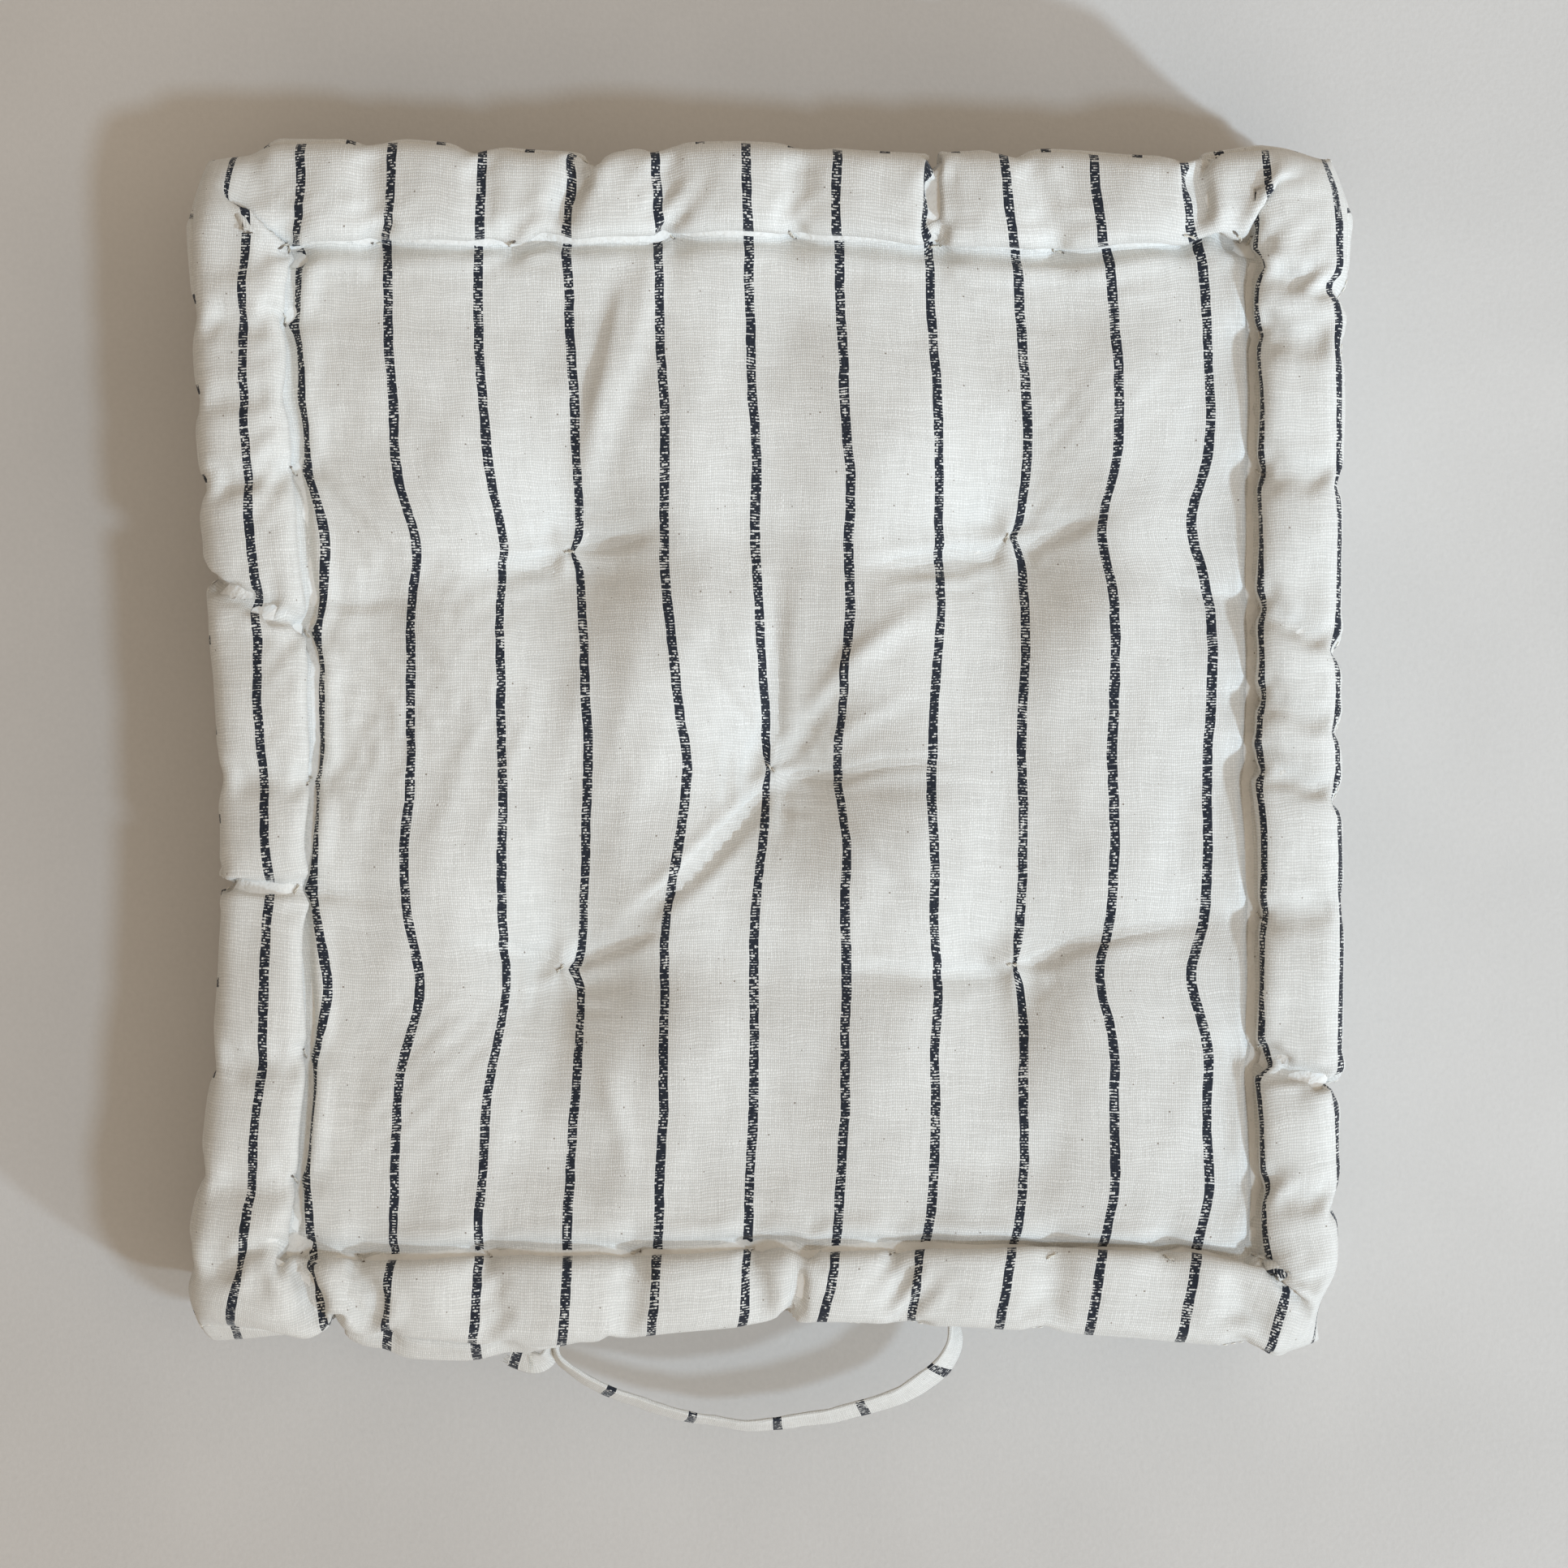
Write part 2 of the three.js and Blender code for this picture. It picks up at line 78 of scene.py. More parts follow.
cover = {
    "cells": 128,  # of the cloth grid, across each panel; coarse passes use half
    "borderCells": 18,
    "rollWidth": 41.0,  # plan width of the rolled edge
    "rollCloth": 62.0,  # cloth that goes over it, from seam to stitched row
    "borderCloth": 76.0,
    "cornerRadius": 34.0,
    "fieldEase": 1.022,  # spare cloth in the field and along the rolls
    "rollEase": 1.05,
    "rollFullness": 0.58,  # 1 for a round section, less for a squarer one
    "rollRise": 18.0,  # height used to space the cloth over the roll
    "overhang": 2.2,  # of the roll over its stitched row
    "overhangAt": 0.83,  # where it is widest and how far it spreads, as shares of the roll's cloth
    "overhangSpread": 0.13,
    "fieldZ": 91.5,
    "dome": 5.0,
    "shoulderRun": 7,  # how far into the field the shoulder, the field and the dome take to rise
    "fieldRun": 60,
    "domeRun": 80,
    "floorGap": 0.6,  # least height of the cloth
    "tuftReach": 74.0,
    "tuftBite": 8.0,  # radius of cloth drawn into each tuft
    "borderPull": 14.0,
    "easeRounds": 10,
}

# Each side's stitches: place along the side from its middle, and inset from the outline.
stitches = {
    "back": [(-209, 46), (-169, 43), (-111, 44), (-43, 40), (10, 40), (71, 45), (125, 47), (180, 42),
             (201, 41)],
    "right": [(215, 40), (175, 36), (116, 36), (60, 37), (20, 37), (-7, 39), (-75, 36), (-133, 37),
              (-190, 35)],
    "front": [(-204, 38), (-176, 35), (-121, 37), (-58, 37), (-7, 39), (54, 38), (121, 37), (171, 36),
              (211, 36)],
    "left": [(212, 40), (181, 38), (116, 42), (46, 48), (-17, 49), (-64, 44), (-135, 47), (-189, 43),
             (-219, 41)],
}

# How far the outline stands out of the straight, along each side.
outlines = {
    "back": [(-230, 1), (-155, 2), (-86, -3), (-17, 2), (53, -3), (120, -2), (174, -5), (226, 1)],
    "right": [(-245, -5), (-204, -2), (-100, 2), (0, 1), (143, 2), (230, 4)],
    "front": [(-242, 1), (-197, -5), (-155, 0), (-107, 4), (-34, -3), (14, -8), (87, -4), (157, 0),
              (226, 8)],
    "left": [(-239, 8), (-169, -2), (-83, -9), (4, -7), (91, -1), (230, 4)],
}

# Folds across the rolled edge: place along the side at the stitched row and at the seam, depth, half width.
folds = {
    "back": [(-97, -74, 7, 7), (-118, -128, 3, 7), (71, 70, 9, 4), (125, 105, 3, 7), (188, 181, 7, 6),
             (-43, -47, 3, 6), (-169, -172, 2.5, 7), (10, 14, 2.5, 7), (-209, -222, 4, 6)],
    "right": [(205, 190, 6, 6), (116, 112, 3, 7), (60, 36, 4.5, 6), (-7, -27, 5, 6), (20, 2, 3, 6),
              (-75, -70, 3, 7), (-133, -149, 9, 5), (-190, -196, 3.5, 7), (175, 168, 2.5, 7)],
    "front": [(-204, -190, 7, 7), (-121, -116, 2.5, 8), (-58, -64, 3, 7), (-7, -2, 3, 7), (18, 5, 7, 4),
              (54, 60, 3, 7), (121, 116, 3, 7), (190, 200, 4, 8), (-176, -166, 3, 7)],
    "left": [(46, 73, 8, 6), (-64, -62, 9, 4), (116, 112, 3, 7), (181, 186, 2.5, 7), (-17, -14, 3, 7),
             (-135, -138, 3.5, 7), (-189, -186, 3, 7), (150, 149, 2, 6), (-219, -222, 3, 7)],
}

# How far each border's cloth is drawn out of its waist, and how far it stands past its top seam.
plump = {
    "back": [(-235, 8), (-150, 3), (0, 0), (150, 3), (235, 8)],
    "right": [(-240, 8), (-120, 2), (0, 0), (120, 2), (240, 8)],
    "front": [(-237, 25), (-197, 17), (-160, 27), (-135, 25), (-115, 21), (-98, 14), (-86, 1), (0, 0),
              (70, 0), (100, 2), (235, 8)],
    "left": [(-245, 10), (-120, 3), (0, 0), (120, 3), (240, 8)],
}
lips = {"back": 2.6, "right": 1.6, "front": 1.4, "left": 2.2}

# Heights at each side's stitched row and just inside it.
grooves = {"back": 89.0, "right": 83.0, "front": 91.0, "left": 88.5}
shoulders = {"back": 90.5, "right": 88.0, "front": 94.0, "left": 90.5}

# Soft valleys (negative) and ridges on the field: start, end, height and half width.
creases = [
    ((2, -16), (1, 74), -2.6, 7),
    ((-2, -24), (-50, -74), -3.2, 5),
    ((-50, -74), (-86, -100), -2.2, 8),
    ((8, -16), (78, -19), -2.6, 7),
    ((6, -10), (28, 22), -1.6, 5),
    ((28, 22), (74, 60), 2.2, 12),
    ((-6, -14), (-44, 14), -1.4, 7),
    ((12, -22), (66, -72), -1.6, 7),
    ((0, -24), (-2, -92), 1.6, 12),
    ((-90, 79), (-128, 73), -2.6, 5),
    ((-82, 80), (-46, 92), -2.4, 6),
    ((-88, 88), (-84, 122), -1.4, 8),
    ((-50, 208), (-80, 110), 2.6, 7),
    ((104, 84), (46, 73), -2.6, 6),
    ((110, 82), (146, 99), -2.4, 7),
    ((104, 76), (102, 30), -1.4, 9),
    ((-92, -98), (-132, -86), -2.4, 7),
    ((-86, -104), (-52, -218), 1.6, 14),
    ((-92, -108), (-94, -150), -1.2, 8),
    ((-84, -98), (-44, -108), -1.4, 7),
    ((104, -100), (36, -102), -2.4, 7),
    ((110, -100), (150, -78), -2.6, 8),
    ((150, -78), (198, -76), -2.0, 9),
    ((106, -108), (104, -160), -1.4, 9),
    ((-196, 62), (-150, 60), -1.2, 7),
    ((206, 62), (170, 70), -1.6, 8),
    ((-200, -64), (-160, -70), -1.8, 8),
]

# Long shallow valleys that link the tufts: axis they run along, place across it, both ends, depth and half
# width.
valleys = [
    (1, -90, -215, 215, 4.5, 27),
    (1, 2, -215, 215, 4.5, 27),
    (1, 104, -215, 215, 5.0, 27),
    (0, 84, -100, 115, 3.5, 20),
    (0, 78, 104, 215, 3.0, 16),
    (0, -100, -100, 115, 3.5, 20),
    (0, -80, 104, 215, 3.5, 16),
    (0, 66, -215, -88, 2.5, 16),
    (0, -80, -215, -88, 2.5, 16),
    (0, -14, -30, 80, 2.5, 18),
]

sideOf = {  # each side's axis along it, its outward axis and sign
    "front": (0, 1, -1),
    "right": (1, 0, 1),
    "back": (0, 1, 1),
    "left": (1, 0, -1),
}
halves = (halfX, halfY)


def smooth(t):
    t = np.clip(t, 0, 1)
    return t * t * (3 - 2 * t)


# A smooth curve through (place, value) pairs.
def through(places, at):
    order = sorted(places)
    x = np.array([p for p, _ in order], float)
    y = np.array([v for _, v in order], float)
    slope = np.gradient(y, x)
    k = np.clip(np.searchsorted(x, at) - 1, 0, len(x) - 2)
    h = x[k + 1] - x[k]
    t = np.clip((at - x[k]) / h, 0, 1)
    a = (1 + 2 * t) * (1 - t) ** 2 * y[k] + t * t * (3 - 2 * t) * y[k + 1]
    return a + h * (t * (1 - t) ** 2 * slope[k] - t * t * (1 - t) * slope[k + 1])


print("stage: frame loaded")


# Low rolling noise, about -1 to 1, with waves about this long.
def ripple(x, y, seed, length):
    dice = np.random.default_rng(seed)
    total = np.zeros(np.shape(x))
    for _ in range(14):
        turn, phase = dice.uniform(0, 2 * math.pi, 2)
        wave = 2 * math.pi / (length * dice.uniform(0.7, 1.6))
        total += np.cos(wave * (x * math.cos(turn) + y * math.sin(turn)) + phase)
    return total / 3.7


# The rolled edge's section from its seam to its stitched row, evenly spaced along the cloth.
def rollSection():
    turn = np.linspace(0, math.pi, 600)
    side = np.sign(np.cos(turn)) * np.abs(np.cos(turn)) ** cover["rollFullness"]
    across, up = (1 - side) / 2, np.sin(turn) ** cover["rollFullness"]
    steps = np.hypot(np.diff(across) * cover["rollWidth"], np.diff(up) * cover["rollRise"])
    share = np.concatenate([[0], np.cumsum(steps)])
    return share / share[-1], across, up


sectionShare, sectionAcross, sectionUp = rollSection()


# Plan inset of cloth that lies d from the seam.
def rollInset(d, width):
    t = np.clip(d / cover["rollCloth"], 0, 1)
    across = np.interp(t, sectionShare, sectionAcross)
    return width * across + np.maximum(d - cover["rollCloth"], 0) / cover["fieldEase"]


# A value given for each side, mixed by how near the sides are. cut is the distance from the seams.
def mixedSides(values, u, v):
    total, weights = 0, 0
    for side, (_, out, sign) in sideOf.items():
        gap = (cutX, cutY)[out] - sign * (u, v)[out]
        weight = 1 / (np.maximum(gap, 0) + 12) ** 3
        total, weights = total + weight * values[side], weights + weight
    return total / weights


# How far the folds across a side's roll draw the cloth in. t is 0 at the seam and 1 at the stitched row.
def foldDepth(side, along, t):
    total = np.zeros(np.shape(along))
    reach = smooth(2.2 + t * 2.2) * (1 - smooth((t - 0.97) * 7))
    for row, seam, depth, wide in folds[side]:
        q = (along - (seam + (row - seam) * np.clip(t, 0, 1))) / wide
        total = np.maximum(total, depth * np.exp(-q * q))
    return total * reach


# 0 at each of a side's stitches and 1 half way between two.
def scallop(side, along):
    places = np.sort([p for p, _ in stitches[side]])
    k = np.clip(np.searchsorted(places, along), 1, len(places) - 1)
    t = (along - places[k - 1]) / (places[k] - places[k - 1])
    return np.sin(math.pi * np.clip(t, 0, 1)) ** 2


# The lesser of two values, rounded where they meet.
def roundedLeast(a, b, k):
    h = np.clip(0.5 + 0.5 * (b - a) / k, 0, 1)
    return b + (a - b) * h - k * h * (1 - h)


# Where the stuffed panel's cloth lies before it relaxes, for places on the flat cut.
def panelShape(u, v, under):
    cut = (cutX - np.abs(u), cutY - np.abs(v))
    plain = [
        np.sign(p) * (half - rollInset(d, cover["rollWidth"]))
        for p, d, half in zip((u, v), cut, halves)
    ]
    place = [None, None]
    lift = np.zeros(np.shape(u))
    near = roundedLeast(cut[0], cut[1], 16.0)
    t = near / cover["rollCloth"]
    offCorner = smooth((np.abs(cut[0] - cut[1]) - 2) / 30)
    for out in (0, 1):
        placed = np.zeros(np.shape(u))
        for side, (axis, outward, sign) in sideOf.items():
            if outward != out:
                continue
            along = plain[axis]
            width = through(stitches[side], along) - 1.5 * scallop(side, along)
            share = cut[out] / cover["rollCloth"]
            inset = rollInset(cut[out], width)
            fade = 1 - smooth(share)
            slip = (width - cover["rollWidth"]) * np.maximum(0, 1 - np.maximum(share - 1, 0) / 2)
            inset = np.where(share > 1, rollInset(cut[out], cover["rollWidth"]) + slip, inset)
            inset = inset + lips[side] * (1 - smooth(share * 1.6))
            drawn = foldDepth(side, along, share)
            inset = inset + drawn * np.cos(math.pi * np.clip(share, 0, 1))
            inset = inset - through(outlines[side], along) * fade
            mine = (u, v)[out] * sign >= 0
            placed = np.where(mine, sign * (halves[out] - inset), placed)
            owns = mine & (cut[out] <= cut[1 - out])
            bulge = np.exp(-(((share - cover["overhangAt"]) / cover["overhangSpread"]) ** 2))
            over = cover["overhang"] * bulge * offCorner
            placed = np.where(owns, placed - sign * over, placed)
            swell = 2.5 * scallop(side, along) * np.exp(-((share - 0.75) * 2.2) ** 2)
            swell = swell - drawn * np.sin(math.pi * np.clip(share, 0, 1))
            lift = np.where(owns, swell * offCorner, lift)
        place[out] = placed
    x, y = place
    radius = cover["cornerRadius"]
    px = np.maximum(np.abs(x) - (halfX - radius), 0) / radius
    py = np.maximum(np.abs(y) - (halfY - radius), 0) / radius
    size = np.hypot(px, py)
    pull = np.where(size > 1e-6, np.maximum(px, py) / np.maximum(size, 1e-6), 1)
    pull = 1 - (1 - pull) * 0.75 * (1 - smooth(near / cover["rollCloth"]))
    inCorner = (px > 0) & (py > 0)
    x = np.where(inCorner, np.sign(x) * (halfX - radius + px * pull * radius), x)
    y = np.where(inCorner, np.sign(y) * (halfY - radius + py * pull * radius), y)

    groove, shoulder = mixedSides(grooves, u, v), mixedSides(shoulders, u, v)
    crest = topZ - (topSeamZ + groove) / 2
    edge = topSeamZ + (groove - topSeamZ) * np.clip(t, 0, 1)
    into = np.maximum(near - cover["rollCloth"], 0)
    field = (shoulder - groove) * smooth(into / cover["shoulderRun"])
    field = field + (cover["fieldZ"] - shoulder) * smooth((into - 4) / cover["fieldRun"])
    z = edge + crest * np.interp(np.clip(t, 0, 1), sectionShare, sectionUp) + lift + field
    between = cover["dome"] * smooth((into - 10) / cover["domeRun"])
    dip = np.zeros(np.shape(u))
    for name, (tx, ty) in tuftAt.items():
        q = np.clip(np.hypot(x - tx, y - ty) / cover["tuftReach"], 0, 1)
        dip = np.maximum(dip, (cover["fieldZ"] + cover["dome"] - tuftZ[name]) * (1 - smooth(q ** 0.62)))
    z = z + between - dip
    for axis, at, low, high, deep, wide in valleys:
        run, off = ((x, y)[axis], (x, y)[1 - axis] - at)
        ends = smooth((run - low) / 40) * smooth((high - run) / 40) * smooth((into - 6) / 30)
        z = z - deep * np.exp(-((off / wide) ** 2)) * ends
    for (ax, ay), (bx, by), high, wide in creases:
        long = np.hypot(bx - ax, by - ay)
        s = ((x - ax) * (bx - ax) + (y - ay) * (by - ay)) / long
        off = ((x - ax) * (by - ay) - (y - ay) * (bx - ax)) / long
        ends = smooth((s + 10) / 22) * smooth((long + 10 - s) / 30)
        z = z + high * np.exp(-((off + 1.5 * np.sin(s / 17)) / wide) ** 2) * ends
    for side, row in stitches.items():
        for along, inset in row:
            axis, out, sign = sideOf[side]
            at = [0, 0]
            at[axis], at[out] = along, sign * (halves[out] - inset)
            r = np.hypot(x - at[0], y - at[1])
            z = z - 5 * np.exp(-((r / 8) ** 2))
    z = z + (0.6 * ripple(x, y, 3, 46) + 0.25 * ripple(x, y, 4, 22)) * smooth(t * 3)
    if under:
        flat = topSeamZ + underSeamZ - z
        z = np.maximum(flat, 0.6) - np.where(into > 0, 0.35, 0) * np.minimum(flat, 0)
        z = np.where(into > 0, np.clip(z - 6, 0.8, None), z)
    return np.stack([x, y, z], -1)


cutX = (halfX - cover["rollWidth"]) * cover["fieldEase"] + cover["rollCloth"]
cutY = (halfY - cover["rollWidth"]) * cover["fieldEase"] + cover["rollCloth"]


# How far a border's cloth lies in from its seams. w runs from 0 at the top seam to 1 at the lower.
def borderInset(side, along, w):
    near = min(w, 1 - w)
    toRow = near / 0.36
    waist = cover["borderPull"] * smooth(toRow) ** 0.9 - 2.5 * smooth((toRow - 1) / 0.39)
    drawn = foldDepth(side, along, 0) * max(0, 1 - near / 0.3)
    pits = scallop(side, along) * 2.5 * math.exp(-(((near - 0.36) / 0.09) ** 2))
    lip = lips[side] * 1.7 * smooth(near / 0.05) * (1 - smooth((near - 0.12) / 0.2))
    return waist + drawn + pits - lip - through(plump[side], along) * smooth(near / 0.32)


# The cover's cloth as one welded net: points on the cut, starting shape, springs and squares.
def makeCover(cells, rows):
    line = np.linspace(-1, 1, cells + 1)
    u, v = np.meshgrid(line * cutX, line * cutY, indexing="ij")
    count = (cells + 1) ** 2
    grid = np.arange(count).reshape(cells + 1, cells + 1)
    top = panelShape(u, v, False).reshape(-1, 3)
    below = panelShape(u, v, True).reshape(-1, 3)
    rim = np.concatenate([grid[:-1, 0], grid[-1, :-1], grid[:0:-1, -1], grid[0, :0:-1]])
    ring = 4 * cells
    sides = np.repeat([0, 1, 2, 3], cells)
    step = np.where(sides % 2 == 0, 2 * cutX, 2 * cutY) / cells
    along = np.concatenate([[0], np.cumsum(step)])[:-1]

    edge = (top[rim] + below[rim]) / 2
    tangent = np.roll(edge, -3, 0) - np.roll(edge, 3, 0)
    outward = np.stack([tangent[:, 1], -tangent[:, 0]], 1)
    outward /= np.linalg.norm(outward, axis=1)[:, None]
    border = np.zeros((rows - 1, ring, 3))
    for k in range(1, rows):
        w = k / rows
        plan = top[rim] * (1 - w) + below[rim] * w
        inset = 0 * along
        for i, side in enumerate(("front", "right", "back", "left")):
            mine = sides == i
            place = plan[mine, sideOf[side][0]]
            inset[mine] = borderInset(side, place, w)
        border[k - 1, :, :2] = plan[:, :2] - outward * inset[:, None]
        border[k - 1, :, 2] = topSeamZ + (underSeamZ - topSeamZ) * w
    z = border[:, :, 2] + 1.2 * ripple(along[None] + 0 * border[:, :, 0], border[:, :, 2], 8, 40)
    border[:, :, 2] = z

    points = np.concatenate([top, border.reshape(-1, 3), below])
    borderStart, lowStart = count, count + (rows - 1) * ring
    lattice = np.zeros((rows + 1, ring), int)
    lattice[0] = rim
    lattice[1:-1] = borderStart + np.arange((rows - 1) * ring).reshape(rows - 1, ring)
    lattice[-1] = lowStart + rim
    high = 0 * along[None] + np.linspace(0, cover["borderCloth"], rows + 1)[:, None]
    wide = along[None] + 0 * high
    return {
        "points": points, "grid": grid, "low": grid + lowStart, "lattice": lattice, "rim": rim,
        "u": u, "v": v, "along": wide, "high": high, "step": step, "cells": cells, "rows": rows,
    }


# Pairs of points, the cloth's length between them and what kind of thread joins them.
def springs(net):
    pairs, rest, kind = [], [], []

    def join(a, b, length, sort):
        pairs.append(np.stack([a.ravel(), b.ravel()], 1))
        rest.append(np.broadcast_to(length, a.shape).ravel())
        kind.append(np.full(a.size, sort))

    cellX, cellY = 2 * cutX / net["cells"], 2 * cutY / net["cells"]
    near = np.minimum(cutX - np.abs(net["u"]), cutY - np.abs(net["v"]))
    ease = 1 + (cover["rollEase"] - 1) * (1 - smooth((near - 40) / 40))
    for grid in (net["grid"], net["low"]):
        easeX, easeY = (ease[1:] + ease[:-1]) / 2, (ease[:, 1:] + ease[:, :-1]) / 2
        join(grid[:-1], grid[1:], cellX * easeX, 0)
        join(grid[:, :-1], grid[:, 1:], cellY * easeY, 0)
        across = math.hypot(cellX, cellY)
        join(grid[:-1, :-1], grid[1:, 1:], across * ease[1:, 1:], 1)
        join(grid[1:, :-1], grid[:-1, 1:], across * ease[1:, 1:], 1)
        join(grid[:-2], grid[2:], 2 * cellX * ease[1:-1], 2)
        join(grid[:, :-2], grid[:, 2:], 2 * cellY * ease[:, 1:-1], 2)
    net2 = net["lattice"]
    turned = np.roll(net2, -1, 1)
    up = cover["borderCloth"] / net["rows"]
    step = net["step"][None] + 0 * net["along"]
    inner = slice(1, -1)
    join(net2[inner], turned[inner], step[inner] * cover["rollEase"], 0)
    join(net2[:-1], net2[1:], up, 0)
    slant = np.hypot(step, up)[:-1]
    join(net2[:-1], turned[1:], slant, 1)
    join(turned[:-1], net2[1:], slant, 1)
    join(net2[inner], np.roll(net2, -2, 1)[inner], 2 * step[inner], 2)
    join(net2[:-2], net2[2:], 2 * up, 2)
    pairs, rest, kind = np.concatenate(pairs), np.concatenate(rest), np.concatenate(kind)
    base = net["points"]
    length = np.linalg.norm(base[pairs[:, 0]] - base[pairs[:, 1]], axis=1)
    rest = np.where(kind == 2, rest, np.maximum(rest, 0.99 * length))
    return pairs, rest, kind


# Sorts springs into batches in which no point comes twice.
def inBatches(pairs, total):
    used = [0] * total
    batch = np.zeros(len(pairs), int)
    for i, (a, b) in enumerate(pairs.tolist()):
        taken = used[a] | used[b]
        k = 0
        while taken >> k & 1:
            k += 1
        batch[i] = k
        used[a] |= 1 << k
        used[b] |= 1 << k
    return [np.flatnonzero(batch == k) for k in range(batch.max() + 1)]


def netNormals(points, quads):
    a, b, c, d = (points[quads[:, i]] for i in range(4))
    face = np.cross(c - a, d - b)
    normal = np.zeros_like(points)
    for i in range(4):
        for axis in range(3):
            normal[:, axis] += np.bincount(quads[:, i], face[:, axis], len(points))
    return normal / np.maximum(np.linalg.norm(normal, axis=1), 1e-9)[:, None]


def quadsOf(grid):
    return np.stack([grid[:-1, :-1], grid[1:, :-1], grid[1:, 1:], grid[:-1, 1:]], -1).reshape(-1, 4)


def coverQuads(net):
    closed = np.concatenate([net["lattice"], net["lattice"][:, :1]], 1)
    border = np.stack([closed[1:, :-1], closed[1:, 1:], closed[:-1, 1:], closed[:-1, :-1]], -1).reshape(-1, 4)
    return np.concatenate([quadsOf(net["grid"]), border, quadsOf(net["low"])[:, ::-1]])


relaxing = {
    "stiffness": (0.9, 0.25, 0.1),  # of threads, of the bias and of bending
    "slack": (0.35, 0.1, 0.1),  # the same when squeezed
    "wadding": 0.06,  # push of the wadding on cloth that sinks into it
    "hold": 0.025,  # pull on cloth that lifts off it
    "drag": 0.9,
    "coarseRounds": 260,
    "fineRounds": 240,
}


# Lets the cloth settle on its wadding, held by its tufts and stitches.
def relax(net, points, rounds, base):
    pairs, rest, kind = springs(net)
    batches = inBatches(pairs, len(points))
    stiff = np.array(relaxing["stiffness"])[kind] * 0.5
    slack = np.array(relaxing["slack"])[kind] * 0.5
    work = [(pairs[k, 0], pairs[k, 1], rest[k], stiff[k], slack[k]) for k in batches]
    outward = netNormals(base, coverQuads(net))
    count = net["grid"].size
    lowStart = net["low"][0, 0]

    held, goal = [], []
    for name, (tx, ty) in tuftAt.items():
        for start, z in ((0, tuftZ[name]), (lowStart, 12.0)):
            r = np.hypot(base[start:start + count, 0] - tx, base[start:start + count, 1] - ty)
            near = np.flatnonzero(r < cover["tuftBite"]) + start
            held.append(near)
            spot = base[near] * 1.0
            spot[:, :2] = np.array([tx, ty]) + 0.3 * (spot[:, :2] - np.array([tx, ty]))
            spot[:, 2] = z + 0.15 * (r[near - start] if start == 0 else -r[near - start])
            goal.append(spot)
    for side, row in stitches.items():
        axis, out, sign = sideOf[side]
        for along, inset in row:
            at = np.zeros(2)
            at[axis], at[out] = along, sign * (halves[out] - inset)
            for start in (0, lowStart):
                r = np.hypot(base[start:start + count, 0] - at[0], base[start:start + count, 1] - at[1])
                near = np.argsort(r)[:3] + start
                held.append(near)
                spot = base[near] * 1.0
                spot[:, :2] = at + 0.5 * (spot[:, :2] - at)
                spot[:, 2] += -1.5 if start == 0 else 1.5
                goal.append(spot)
    held, goal = np.concatenate(held), np.concatenate(goal)

    before = points.copy()
    for k in range(rounds):
        speed = (points - before) * relaxing["drag"]
        before = points.copy()
        off = ((points - base) * outward).sum(1)
        push = np.where(off < 0, -relaxing["wadding"] * off, -relaxing["hold"] * off)
        points = points + speed + outward * push[:, None]
        for a, b, length, tight, loose in work:
            gap = points[b] - points[a]
            now = np.maximum(np.sqrt((gap * gap).sum(1)), 1e-6)
            move = gap * ((now - length) / now * np.where(now > length, tight, loose))[:, None]
            points[a] += move
            points[b] -= move
        share = min(1, (k + 1) / (0.4 * rounds)) ** 0.5
        points[held] += (goal - points[held]) * 0.6 * share
        points[:, 2] = np.maximum(points[:, 2], 0.5)
    return points


# Carries a coarse net's movement over to a net with twice the cells.
def finer(net, points, fine):
    def double(a):
        b = np.zeros((2 * a.shape[0] - 1, *a.shape[1:]))
        b[::2] = a
        b[1::2] = (a[1:] + a[:-1]) / 2
        return b

    moved = np.zeros_like(fine["points"])
    shift = points - net["points"]
    for name in ("grid", "low"):
        moved[fine[name]] = double(double(shift[net[name]]).swapaxes(0, 1)).swapaxes(0, 1)
    closed = np.concatenate([net["lattice"], net["lattice"][:, :1]], 1)
    border = double(double(shift[closed]).swapaxes(0, 1)).swapaxes(0, 1)[:, :-1]
    moved[fine["lattice"][1:-1]] = border[1:-1]
    return fine["points"] + moved


def stuffedCover():
    coarse = makeCover(cover["cells"] // 2, cover["borderCells"] // 2)
    fine = makeCover(cover["cells"], cover["borderCells"])
    shaped = relax(coarse, coarse["points"].copy(), relaxing["coarseRounds"], coarse["points"])
    return fine, relax(fine, finer(coarse, shaped, fine), relaxing["fineRounds"], fine["points"])


# Evens out the cloth, and keeps it plump near the cut's corners, where three pieces would bunch together.
def eased(net, points):
    pairs, _, kind = springs(net)
    pairs = pairs[kind == 0]
    total = len(points)
    links = np.bincount(pairs.ravel(), minlength=total)
    u, v = np.abs(net["u"]), np.abs(net["v"])
    weight = np.full(total, 0.12)
    corner = 1 - smooth((np.hypot(cutX - u, cutY - v) - 24) / 44)
    for grid in (net["grid"], net["low"]):
        weight[grid] = np.maximum(weight[grid], 0.7 * corner)
    cells = net["cells"]
    toCorner = np.abs((np.arange(4 * cells) + cells // 2) % cells - cells // 2) * net["step"]
    weight[net["lattice"]] = np.maximum(weight[net["lattice"]], 0.7 * (1 - smooth((toCorner - 24) / 40)))
    keep = (weight - 0.12) / 0.58 * 0.9
    points = points + (net["points"] - points) * keep[:, None]
    for k in range(cover["easeRounds"]):
        mean = np.zeros_like(points)
        for axis in range(3):
            mean[:, axis] = np.bincount(pairs[:, 0], points[pairs[:, 1], axis], total)
            mean[:, axis] += np.bincount(pairs[:, 1], points[pairs[:, 0], axis], total)
        share = weight if k < 2 else np.where(weight > 0.13, weight, 0)
        points = points + (mean / links[:, None] - points) * share[:, None] * 0.8
    return points


